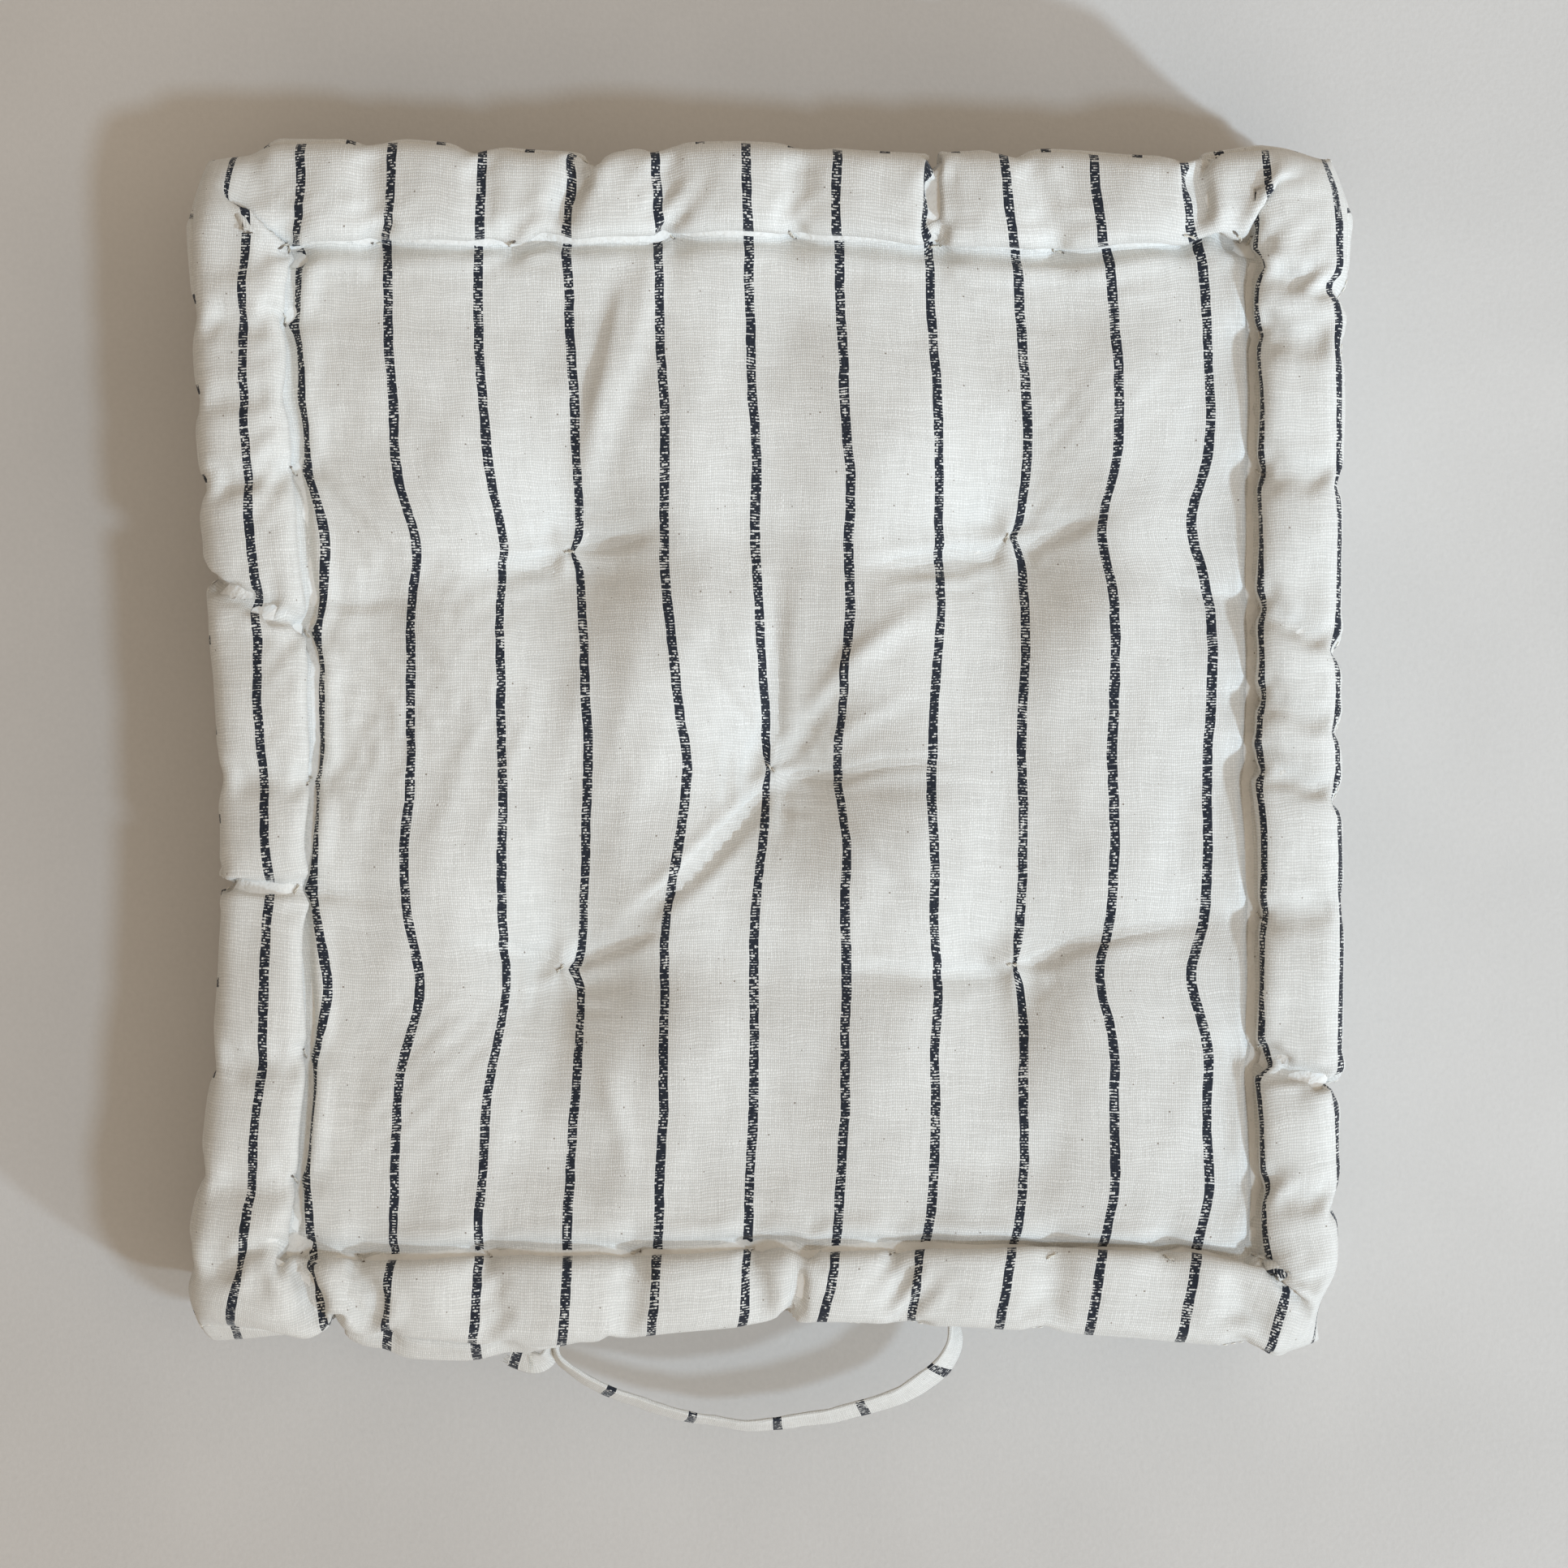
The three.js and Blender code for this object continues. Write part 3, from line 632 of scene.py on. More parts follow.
coverNet, clothPoints = stuffedCover()
clothPoints = eased(coverNet, clothPoints)
clothNormals = netNormals(clothPoints, coverQuads(coverNet))
print("stage: cover relaxed")


# Doubles the cells of a grid along its first axis, on a smooth curve through its values.
def doubled(a):
    out = np.zeros((2 * a.shape[0] - 1, *a.shape[1:]))
    out[::2] = a
    ends = np.concatenate([[2 * a[0] - a[1]], a, [2 * a[-1] - a[-2]]])
    out[1::2] = (9 * (ends[1:-2] + ends[2:-1]) - ends[:-3] - ends[3:]) / 16
    return out


def doubledGrid(a):
    return doubled(doubled(a).swapaxes(0, 1)).swapaxes(0, 1)


def edgeLoop(grid):
    return np.concatenate([grid[:-1, 0], grid[-1, :-1], grid[:0:-1, -1], grid[0, :0:-1]])


# The cushion's cloth is worked round its middle, and a mesh is placed in the frame.
def placed(points):
    return (np.asarray(points) + middle * [1, 1, 0]) * mm


def newPiece(name, points, faces, uv=None, flat=()):
    mesh = bpy.data.meshes.new(name)
    mesh.from_pydata(np.asarray(points).tolist(), [], faces)
    smoothFaces = np.ones(len(mesh.polygons), bool)
    smoothFaces[list(flat)] = False
    mesh.polygons.foreach_set("use_smooth", smoothFaces)
    if uv is not None:
        corner = np.zeros(len(mesh.loops), int)
        mesh.loops.foreach_get("vertex_index", corner)
        mesh.uv_layers.new(name="cut").data.foreach_set("uv", np.asarray(uv)[corner].ravel())
    mesh.validate()
    mesh.update()
    piece = bpy.data.objects.new(name, mesh)
    bpy.context.scene.collection.objects.link(piece)
    return piece


cloth = {
    "lining": 0.9,  # how far the inner face lies inside the outer one
    "seamPinch": 0.9,
    "seamTuck": 0.8,
    "flatSize": (2 * cutX * mm, 2 * cutY * mm),
}

# Pressed creases finer than the cloth net: the line they follow, depth and half width.
sharpCreases = [
    ([(1, -20), (-18, -38), (-41, -62), (-70, -81)], -2.6, 2.6),
    ([(-2, -2), (-20, 22), (-41, 45)], -1.0, 2.4),
    ([(-88, -102), (-79, -94), (-58, -86), (-34, -76)], -1.5, 2.6),
    ([(6, -15), (32, -15), (50, -10), (70, -9), (92, -12)], -2.0, 2.4),
    ([(16, 12), (36, 35), (57, 51), (77, 62)], 1.8, 4.2),
    ([(22, -3), (45, 12), (69, 26)], 1.0, 3.6),
    ([(2, -8), (2, 40), (4, 62)], -1.3, 3.4),
    ([(6, -19), (6, -46)], -1.2, 3.0),
    ([(34, -35), (50, -50), (72, -66)], 1.0, 3.4),
    ([(103, 80), (81, 81), (57, 77), (32, 73)], -1.8, 2.8),
    ([(-89, 80), (-107, 76), (-124, 77)], -1.8, 2.6),
    ([(-86, 82), (-71, 85), (-46, 90)], -1.4, 3.0),
    ([(103, -101), (74, -101), (50, -98), (18, -102)], -1.4, 2.8),
    ([(110, -98), (132, -88), (157, -82), (196, -77)], -1.5, 3.0),
    ([(110, 83), (128, 91), (150, 100)], -1.4, 3.0),
    ([(-93, -97), (-112, -90), (-138, -87)], -1.5, 3.0),
    ([(-196, 62), (-176, 58), (-158, 62)], -1.0, 2.6),
    ([(206, 61), (190, 63), (170, 70)], -1.0, 2.6),
    ([(-62, 196), (-70, 160), (-80, 122)], 1.8, 4.0),
    ([(-202, -64), (-182, -66), (-164, -72)], -1.1, 2.6),
    ([(196, -132), (180, -128), (166, -130)], -0.9, 2.4),
    ([(-60, -186), (-66, -158), (-74, -136)], 1.2, 4.0),
]


# Height of the pressed creases at places in the cushion's plan.
def pressed(x, y):
    total = np.zeros(np.shape(x))
    for line, high, wide in sharpCreases:
        far = np.full(np.shape(x), 1e9)
        signed = np.zeros(np.shape(x))
        along = np.zeros(np.shape(x))
        run = 0.0
        for (ax, ay), (bx, by) in zip(line[:-1], line[1:]):
            long = math.hypot(bx - ax, by - ay)
            s = np.clip(((x - ax) * (bx - ax) + (y - ay) * (by - ay)) / long, 0, long)
            dx, dy = x - ax - s * (bx - ax) / long, y - ay - s * (by - ay) / long
            d = np.hypot(dx, dy)
            closer = d < far
            far = np.where(closer, d, far)
            signed = np.where(closer, np.copysign(d, dx * (by - ay) - dy * (bx - ax)), signed)
            along = np.where(closer, run + s, along)
            run += long
        fade = smooth((along + 4) / 14) * (1 - smooth((along - 0.55 * run) / (0.45 * run)))
        q = signed / wide
        total += high * fade * (np.exp(-q * q) - 0.45 * np.exp(-((q - 2) / 1.3) ** 2))
    return total


# How far the grain wanders to the right of a straight line: all along the panel, and where the tufts pull it.
grain = {
    "bow": 3.4,
    "bowLength": 215.0,
    "bowEnd": 215,  # the bow stays level beyond this
    "fan": 0.026,  # spread of the stripes per millimetre from the middle
    "skew": (-2.5, -6.0),  # over the back and the front roll
    "waver": 0.6,
    "pulls": [  # middle, amount, reach across and along
        ((-165, 82), 5.5, 60, 24),
        ((-155, -103), 7.0, 70, 24),
        ((175, 94), -6.5, 50, 20),
        ((170, -102), -7.5, 50, 20),
        ((-22, -14), 6.0, 42, 36),
        ((-196, -10), -2.0, 22, 50),
        ((-196, -215), 6.0, 40, 30),
        ((60, 105), 2.0, 50, 50),
        ((-114, -50), 3.8, 26, 70),
        ((-116, 85), 2.6, 24, 30),
        ((140, -20), -2.8, 44, 130),
        ((70, -14), -2.0, 30, 34),
        ((32, -4), -4.0, 18, 28),
        ((165, -228), -4.5, 80, 28),
    ],
}


def grainShift(x, y):
    inBow = np.clip(y, -grain["bowEnd"], grain["bowEnd"])
    shift = grain["bow"] * (1 - (inBow / grain["bowLength"]) ** 2) + grain["fan"] * x
    shift = shift + grain["waver"] * ripple(x * 0.6, y, 21, 60)
    for (cx, cy), amount, wide, long in grain["pulls"]:
        shift = shift + amount * np.exp(-(((x - cx) / wide) ** 2) - ((y - cy) / long) ** 2)
    return shift


# A closed shell of cloth: a fine outer face and a plainer lining inside it, joined round their edge.
def clothShell(name, grid, uv, dress=None, turned=False):
    points, normals = clothPoints[grid], clothNormals[grid]
    outer = doubledGrid(points)
    outward = doubledGrid(normals)
    outward /= np.linalg.norm(outward, axis=-1, keepdims=True)
    outer[..., 2] = np.maximum(outer[..., 2], cover["floorGap"])
    lift = np.zeros(outer.shape[:2])
    if dress is not None:
        lift[1:-1, 1:-1] += dress(outer[1:-1, 1:-1, 0], outer[1:-1, 1:-1, 1])
    for edge in (lift[0], lift[-1], lift[:, 0], lift[:, -1]):
        edge[:] = -cloth["seamPinch"]
    outer = outer + outward * lift[..., None]
    inner = points - normals * cloth["lining"]
    inner[[0, -1]] -= normals[[0, -1]] * cloth["seamTuck"]
    inner[:, [0, -1]] -= normals[:, [0, -1]] * cloth["seamTuck"]
    fineIndex = np.arange(outer.shape[0] * outer.shape[1]).reshape(outer.shape[:2])
    innerIndex = fineIndex.size + np.arange(grid.size).reshape(grid.shape)
    fineEdge, innerEdge = edgeLoop(fineIndex), edgeLoop(innerIndex)
    faces = quadsOf(fineIndex).tolist() + quadsOf(innerIndex)[:, ::-1].tolist()
    joins = len(faces)
    faces += np.stack([
        fineEdge[::2], innerEdge, np.roll(innerEdge, -1), np.roll(fineEdge[::2], -1), fineEdge[1::2],
    ], 1).tolist()
    if turned:
        faces = [face[::-1] for face in faces]
    allPoints = np.concatenate([outer.reshape(-1, 3), inner.reshape(-1, 3)])
    allUv = np.concatenate([doubledGrid(uv).reshape(-1, 2), uv.reshape(-1, 2)]) * mm
    return newPiece(name, placed(allPoints), faces, allUv, range(joins, len(faces)))


def panelUv(grid, phase):
    x, y = clothPoints[grid][..., 0], clothPoints[grid][..., 1]
    near = np.minimum(cutX - np.abs(coverNet["u"]), cutY - np.abs(coverNet["v"]))
    inField = smooth((near - 20) / 50)
    back, front = grain["skew"]
    toEdge = 1 - smooth((cutY - np.abs(coverNet["v"])) / cover["rollCloth"])
    shift = grainShift(x, y) * inField + np.where(y > 0, back, front) * toEdge
    return np.stack([coverNet["u"] + phase - shift, coverNet["v"]], -1)


stripes = {
    "topPhase": 9.9,  # from a stripe's middle to the cloth's middle
    "underPhase": 24.0,
    "borderPhase": {"front": 12.0, "right": 21.0, "back": 4.0, "left": 30.0},
}
topPanel = clothShell("topPanel", coverNet["grid"], panelUv(coverNet["grid"], stripes["topPhase"]), pressed)
bottomPanel = clothShell(
    "bottomPanel", coverNet["low"], panelUv(coverNet["low"], stripes["underPhase"]), turned=True
)
borderStrips = {}
for sideIndex, side in enumerate(("front", "right", "back", "left")):
    columns = (np.arange(coverNet["cells"] + 1) + sideIndex * coverNet["cells"]) % (4 * coverNet["cells"])
    stripGrid = coverNet["lattice"][:, columns]
    reach = np.arange(coverNet["cells"] + 1) * coverNet["step"][sideIndex * coverNet["cells"]]
    stripUv = np.stack([
        reach[None] + stripes["borderPhase"][side] + 0 * stripGrid,
        -coverNet["high"][:, :1] + 0.0 * stripGrid,
    ], -1)
    borderStrips[side] = clothShell("borderStrip_" + side, stripGrid, stripUv)
print("stage: panels and borders")


# The wadding fills the cover, just inside its lining.
wadding = {"inside": 2.4, "fill": 0.6}
packed = {"grid": coverNet["grid"][::2, ::2], "low": coverNet["low"][::2, ::2]}
packed["lattice"] = coverNet["lattice"][::2, ::2]
waddingQuads = coverQuads(packed)
used, waddingIndex = np.unique(waddingQuads, return_inverse=True)
waddingPiece = newPiece(
    "wadding",
    placed(clothPoints[used] - clothNormals[used] * wadding["inside"]),
    waddingIndex.reshape(-1, 4).tolist(),
)
print("stage: wadding")


# Node trees that lay thread along lines and set stitches along a seam.
def newTree(name, sockets):
    tree = bpy.data.node_groups.new(name, "GeometryNodeTree")
    tree.interface.new_socket("Geometry", in_out="INPUT", socket_type="NodeSocketGeometry")
    for label, kind, value in sockets:
        socket = tree.interface.new_socket(label, in_out="INPUT", socket_type=kind)
        if value is not None:
            socket.default_value = value
    tree.interface.new_socket("Geometry", in_out="OUTPUT", socket_type="NodeSocketGeometry")
    return tree, tree.nodes.new("NodeGroupInput"), tree.nodes.new("NodeGroupOutput")


def wire(tree, *links):
    for source, sink in links:
        tree.links.new(source, sink)


# Plied thread along every line of a mesh's edges.
def threadTree():
    tree, given, result = newTree("threadAlongLines", [
        ("Radius", "NodeSocketFloat", 0.0007),
        ("Twist", "NodeSocketFloat", 900.0),
        ("Sides", "NodeSocketInt", 6),
        ("Finish", "NodeSocketMaterial", None),
    ])
    add = tree.nodes.new
    line, tilt = add("GeometryNodeMeshToCurve"), add("GeometryNodeSetCurveTilt")
    sweep = add("GeometryNodeCurveToMesh")
    # The share along each line is stored so the twine finish can paint shade at the ends.
    mark = add("GeometryNodeStoreNamedAttribute")
    mark.data_type, mark.domain = "FLOAT", "POINT"
    mark.inputs["Name"].default_value = "along"
    along, turn = add("GeometryNodeSplineParameter"), add("ShaderNodeMath")
    turn.operation = "MULTIPLY"
    ply, pair = add("GeometryNodeCurvePrimitiveCircle"), add("GeometryNodeJoinGeometry")
    shift = add("ShaderNodeCombineXYZ")
    plyRadius, back = add("ShaderNodeMath"), add("ShaderNodeVectorMath")
    plyRadius.operation, plyRadius.inputs[1].default_value = "MULTIPLY", 0.56
    back.operation, back.inputs[3].default_value = "SCALE", -1.0
    left, right = add("GeometryNodeTransform"), add("GeometryNodeTransform")
    shade, real = add("GeometryNodeSetShadeSmooth"), add("GeometryNodeRealizeInstances")
    finish = add("GeometryNodeSetMaterial")
    sweep.inputs["Fill Caps"].default_value = True
    wire(
        tree,
        (given.outputs["Geometry"], line.inputs["Mesh"]),
        (line.outputs["Curve"], tilt.inputs["Curve"]),
        (along.outputs["Length"], turn.inputs[0]),
        (given.outputs["Twist"], turn.inputs[1]),
        (turn.outputs[0], tilt.inputs["Tilt"]),
        (tilt.outputs["Curve"], mark.inputs["Geometry"]),
        (along.outputs["Factor"], mark.inputs["Value"]),
        (mark.outputs["Geometry"], sweep.inputs["Curve"]),
        (given.outputs["Radius"], plyRadius.inputs[0]),
        (given.outputs["Sides"], ply.inputs["Resolution"]),
        (plyRadius.outputs[0], ply.inputs["Radius"]),
        (plyRadius.outputs[0], shift.inputs[0]),
        (shift.outputs[0], left.inputs["Translation"]),
        (shift.outputs[0], back.inputs[0]),
        (back.outputs[0], right.inputs["Translation"]),
        (ply.outputs["Curve"], left.inputs["Geometry"]),
        (ply.outputs["Curve"], right.inputs["Geometry"]),
        (left.outputs[0], pair.inputs[0]),
        (right.outputs[0], pair.inputs[0]),
        (pair.outputs[0], sweep.inputs["Profile Curve"]),
        (sweep.outputs["Mesh"], shade.inputs["Geometry"]),
        (shade.outputs[0], real.inputs["Geometry"]),
        (real.outputs[0], finish.inputs["Geometry"]),
        (given.outputs["Finish"], finish.inputs["Material"]),
        (finish.outputs[0], result.inputs[0]),
    )
    return tree


# Short stitches set end to end along every line of a mesh's edges.
def stitchTree():
    tree, given, result = newTree("stitchesAlongSeam", [
        ("Pitch", "NodeSocketFloat", 0.0034),
        ("Length", "NodeSocketFloat", 0.0029),
        ("Radius", "NodeSocketFloat", 0.0004),
        ("Finish", "NodeSocketMaterial", None),
    ])
    add = tree.nodes.new
    line, even = add("GeometryNodeMeshToCurve"), add("GeometryNodeResampleCurve")
    spots = add("GeometryNodeInstanceOnPoints")
    even.mode = "LENGTH"
    heading, turn = add("GeometryNodeInputTangent"), add("FunctionNodeAlignRotationToVector")
    size = add("ShaderNodeCombineXYZ")
    turn.axis = "X"
    bead, shade = add("GeometryNodeMeshIcoSphere"), add("GeometryNodeSetShadeSmooth")
    halfLength = add("ShaderNodeMath")
    halfLength.operation, halfLength.inputs[1].default_value = "MULTIPLY", 0.5
    real, finish = add("GeometryNodeRealizeInstances"), add("GeometryNodeSetMaterial")
    wire(
        tree,
        (given.outputs["Geometry"], line.inputs["Mesh"]),
        (line.outputs["Curve"], even.inputs["Curve"]),
        (given.outputs["Pitch"], even.inputs["Length"]),
        (even.outputs["Curve"], spots.inputs["Points"]),
        (heading.outputs[0], turn.inputs["Vector"]),
        (turn.outputs[0], spots.inputs["Rotation"]),
        (given.outputs["Length"], halfLength.inputs[0]),
        (halfLength.outputs[0], size.inputs[0]),
        (given.outputs["Radius"], size.inputs[1]),
        (given.outputs["Radius"], size.inputs[2]),
        (size.outputs[0], spots.inputs["Scale"]),
        (bead.outputs["Mesh"], shade.inputs["Geometry"]),
        (shade.outputs[0], spots.inputs["Instance"]),
        (spots.outputs[0], real.inputs["Geometry"]),
        (real.outputs[0], finish.inputs["Geometry"]),
        (given.outputs["Finish"], finish.inputs["Material"]),
        (finish.outputs[0], result.inputs[0]),
    )
    return tree


# Runs a node tree on lines of points in metres and keeps the result as a plain mesh.
def grown(name, lines, tree, **values):
    points, edges = [], []
    for line in lines:
        first = len(points)
        points += np.asarray(line).tolist()
        edges += [(first + k, first + k + 1) for k in range(len(line) - 1)]
    guide = bpy.data.meshes.new(name + "Lines")
    guide.from_pydata(points, edges, [])
    piece = bpy.data.objects.new(name, guide)
    bpy.context.scene.collection.objects.link(piece)
    modifier = piece.modifiers.new("grow", "NODES")
    modifier.node_group = tree
    named = {item.name: item.identifier for item in tree.interface.items_tree if item.in_out == "INPUT"}
    for label, value in values.items():
        modifier[named[label]] = value
    ready = piece.evaluated_get(bpy.context.evaluated_depsgraph_get())
    made = bpy.data.meshes.new_from_object(ready)
    made.name = name
    piece.modifiers.clear()
    piece.data = made
    bpy.data.meshes.remove(guide)
    return piece


# Woven cloth, spun fibre and the finishes made from them.
def calc(tree, operation, *values):
    node = tree.nodes.new("ShaderNodeMath")
    node.operation = operation
    for socket, value in zip(node.inputs, values):
        if isinstance(value, bpy.types.NodeSocket):
            tree.links.new(value, socket)
        else:
            socket.default_value = value
    return node.outputs[0]


def noiseOf(tree, place, scale, detail=2.0, dimensions="2D"):
    node = tree.nodes.new("ShaderNodeTexNoise")
    node.noise_dimensions = dimensions
    tree.links.new(place, node.inputs["Vector"])
    node.inputs["Scale"].default_value = scale
    node.inputs["Detail"].default_value = detail
    return node.outputs["Fac"]


def placeOf(tree, x, y):
    node = tree.nodes.new("ShaderNodeCombineXYZ")
    for socket, value in zip(node.inputs, (x, y)):
        if isinstance(value, bpy.types.NodeSocket):
            tree.links.new(value, socket)
        else:
            socket.default_value = value
    return node.outputs[0]


def blended(tree, share, first, second, mode="MIX"):
    node = tree.nodes.new("ShaderNodeMix")
    node.data_type, node.blend_type = "RGBA", mode
    for socket, value in ((node.inputs[0], share), (node.inputs[6], first), (node.inputs[7], second)):
        if isinstance(value, bpy.types.NodeSocket):
            tree.links.new(value, socket)
        elif isinstance(value, (tuple, list)):
            socket.default_value = (*value, 1)
        else:
            socket.default_value = value
    return node.outputs[2]


def newGroup(name, inputs, outputs):
    tree = bpy.data.node_groups.new(name, "ShaderNodeTree")
    for label, kind, value in inputs:
        socket = tree.interface.new_socket(label, in_out="INPUT", socket_type=kind)
        if value is not None:
            socket.default_value = value
    for label in outputs:
        tree.interface.new_socket(label, in_out="OUTPUT", socket_type="NodeSocketFloat")
    return tree, tree.nodes.new("NodeGroupInput"), tree.nodes.new("NodeGroupOutput")


# Plain weave with stripes of darker warp: which thread lies on top, how high, and how it varies.
def plainWeave():
    tree, given, result = newGroup("plainWeave", [
        ("Place", "NodeSocketVector", None),
        ("Warp Pitch", "NodeSocketFloat", 0.000802),
        ("Weft Pitch", "NodeSocketFloat", 0.00125),
        ("Repeat", "NodeSocketFloat", 48.0),
        ("Stripe", "NodeSocketFloat", 5.0),
    ], ("Dark", "Height", "Tone", "Nep"))
    place = given.outputs["Place"]
    apart = tree.nodes.new("ShaderNodeSeparateXYZ")
    tree.links.new(place, apart.inputs[0])
    half = calc(tree, "MULTIPLY", given.outputs["Warp Pitch"], 2.5)
    u = calc(tree, "ADD", apart.outputs[0], half)
    u = calc(tree, "MULTIPLY_ADD", calc(tree, "SUBTRACT", noiseOf(tree, place, 95.0), 0.5), 0.0011, u)
    far = placeOf(tree, calc(tree, "ADD", apart.outputs[0], 3.1), apart.outputs[1])
    waver = calc(tree, "SUBTRACT", noiseOf(tree, far, 70.0), 0.5)
    v = calc(tree, "MULTIPLY_ADD", waver, 0.0026, apart.outputs[1])
    a = calc(tree, "DIVIDE", u, given.outputs["Warp Pitch"])
    b = calc(tree, "DIVIDE", v, given.outputs["Weft Pitch"])
    i, j = calc(tree, "FLOOR", a), calc(tree, "FLOOR", b)
    acrossWarp = calc(tree, "SUBTRACT", calc(tree, "SUBTRACT", a, i), 0.5)
    acrossWeft = calc(tree, "SUBTRACT", calc(tree, "SUBTRACT", b, j), 0.5)
    turn = calc(tree, "MULTIPLY_ADD", calc(tree, "FLOORED_MODULO", calc(tree, "ADD", i, j), 2.0), 2.0, -1.0)

    # Noise that stays the same along one thread and changes to the next.
    def slub(x, xScale, y, yScale, detail=2.0):
        where = placeOf(tree, calc(tree, "MULTIPLY", x, xScale), calc(tree, "MULTIPLY", y, yScale))
        return noiseOf(tree, where, 1.0, detail)

    warpSlub, weftSlub = slub(i, 3.7, v, 70.0), slub(u, 55.0, j, 5.3)

    def swell(across, thickness, along, sign):
        wide = calc(tree, "MULTIPLY_ADD", thickness, 0.7, 0.62)
        q = calc(tree, "DIVIDE", calc(tree, "MULTIPLY", across, 2.0), wide)
        crown = calc(tree, "MAXIMUM", calc(tree, "SUBTRACT", 1.0, calc(tree, "MULTIPLY", q, q)), 0.0)
        wave = calc(tree, "COSINE", calc(tree, "MULTIPLY", along, math.pi))
        rise = calc(tree, "MULTIPLY_ADD", calc(tree, "MULTIPLY", wave, turn), 0.5 * sign, 0.5)
        return calc(tree, "MULTIPLY", calc(tree, "MULTIPLY", crown, rise), wide)

    warpHigh = swell(acrossWarp, warpSlub, acrossWeft, 1)
    weftHigh = swell(acrossWeft, weftSlub, acrossWarp, -1)
    inRepeat = calc(tree, "FLOORED_MODULO", i, given.outputs["Repeat"])
    inStripe = calc(tree, "LESS_THAN", inRepeat, given.outputs["Stripe"])
    warpTop = calc(tree, "GREATER_THAN", warpHigh, weftHigh)
    # Dark warp lies close in a stripe, so the weft shows there only as hairlines, wider in some stretches.
    stretch, chanceHere = slub(i, 0.12, v, 75.0), slub(i, 0.43, j, 0.71, 1.0)
    hair = calc(tree, "MULTIPLY_ADD", chanceHere, 1.25, -0.64)
    hair = calc(tree, "ADD", hair, calc(tree, "MULTIPLY_ADD", stretch, 0.55, -0.22))
    hair = calc(tree, "MULTIPLY_ADD", turn, 0.05, hair)
    threads = calc(tree, "GREATER_THAN", calc(tree, "ABSOLUTE", acrossWeft), hair)
    weftTone = calc(tree, "MULTIPLY", calc(tree, "SUBTRACT", 1.0, warpTop), weftSlub)
    tone = calc(tree, "ADD", calc(tree, "MULTIPLY", warpTop, warpSlub), weftTone)
    flecks = tree.nodes.new("ShaderNodeTexVoronoi")
    flecks.voronoi_dimensions = "2D"
    flecks.inputs["Scale"].default_value = 75.0
    tree.links.new(place, flecks.inputs["Vector"])
    chance = tree.nodes.new("ShaderNodeSeparateColor")
    tree.links.new(flecks.outputs["Color"], chance.inputs[0])
    nepSize = calc(tree, "MULTIPLY_ADD", chance.outputs[1], 0.05, -0.018)
    nep = calc(tree, "LESS_THAN", flecks.outputs["Distance"], nepSize)
    tree.links.new(calc(tree, "MULTIPLY", inStripe, threads), result.inputs["Dark"])
    tree.links.new(calc(tree, "MAXIMUM", warpHigh, weftHigh), result.inputs["Height"])
    tree.links.new(tone, result.inputs["Tone"])
    tree.links.new(nep, result.inputs["Nep"])
    return tree


# Fine twisted or matted fibre.
def spunFibre():
    tree, given, result = newGroup("spunFibre", [
        ("Place", "NodeSocketVector", None),
        ("Scale", "NodeSocketFloat", 900.0),
    ], ("Height", "Tone"))
    scaled = tree.nodes.new("ShaderNodeVectorMath")
    scaled.operation = "SCALE"
    tree.links.new(given.outputs["Place"], scaled.inputs[0])
    tree.links.new(given.outputs["Scale"], scaled.inputs["Scale"])
    tree.links.new(noiseOf(tree, scaled.outputs[0], 1.0, 4.0, "3D"), result.inputs["Height"])
    tree.links.new(noiseOf(tree, scaled.outputs[0], 0.13, 2.0, "3D"), result.inputs["Tone"])
    return tree


def newFinish(name, roughness, sheen):
    finish = bpy.data.materials.new(name)
    finish.use_nodes = True
    shader = finish.node_tree.nodes["Principled BSDF"]
    shader.inputs["Roughness"].default_value = roughness
    shader.inputs["Sheen Weight"].default_value = sheen
    shader.inputs["Sheen Roughness"].default_value = 0.5
    shader.inputs["Specular IOR Level"].default_value = 0.25
    return finish, finish.node_tree, shader


def groupNode(tree, group, place, **values):
    node = tree.nodes.new("ShaderNodeGroup")
    node.node_tree = group
    tree.links.new(place, node.inputs["Place"])
    for label, value in values.items():
        node.inputs[label].default_value = value
    return node


def bumped(tree, height, strength, distance, normal=None):
    node = tree.nodes.new("ShaderNodeBump")
    node.inputs["Strength"].default_value = strength
    node.inputs["Distance"].default_value = distance
    tree.links.new(height, node.inputs["Height"])
    if normal is not None:
        tree.links.new(normal, node.inputs["Normal"])
    return node.outputs[0]


canvas = {
    "light": (0.75, 0.737, 0.70),
    "shade": (0.64, 0.622, 0.58),
    "stripe": (0.008, 0.011, 0.019),
    # The next colour is painted highlight on the raised crowns of the stripe's threads.
    "stripeCrownHighlight": (0.04, 0.046, 0.06),
    "fleck": (0.17, 0.12, 0.085),
    "weaveDepth": 0.00028,
    "wrinkleDepth": 0.0007,
}


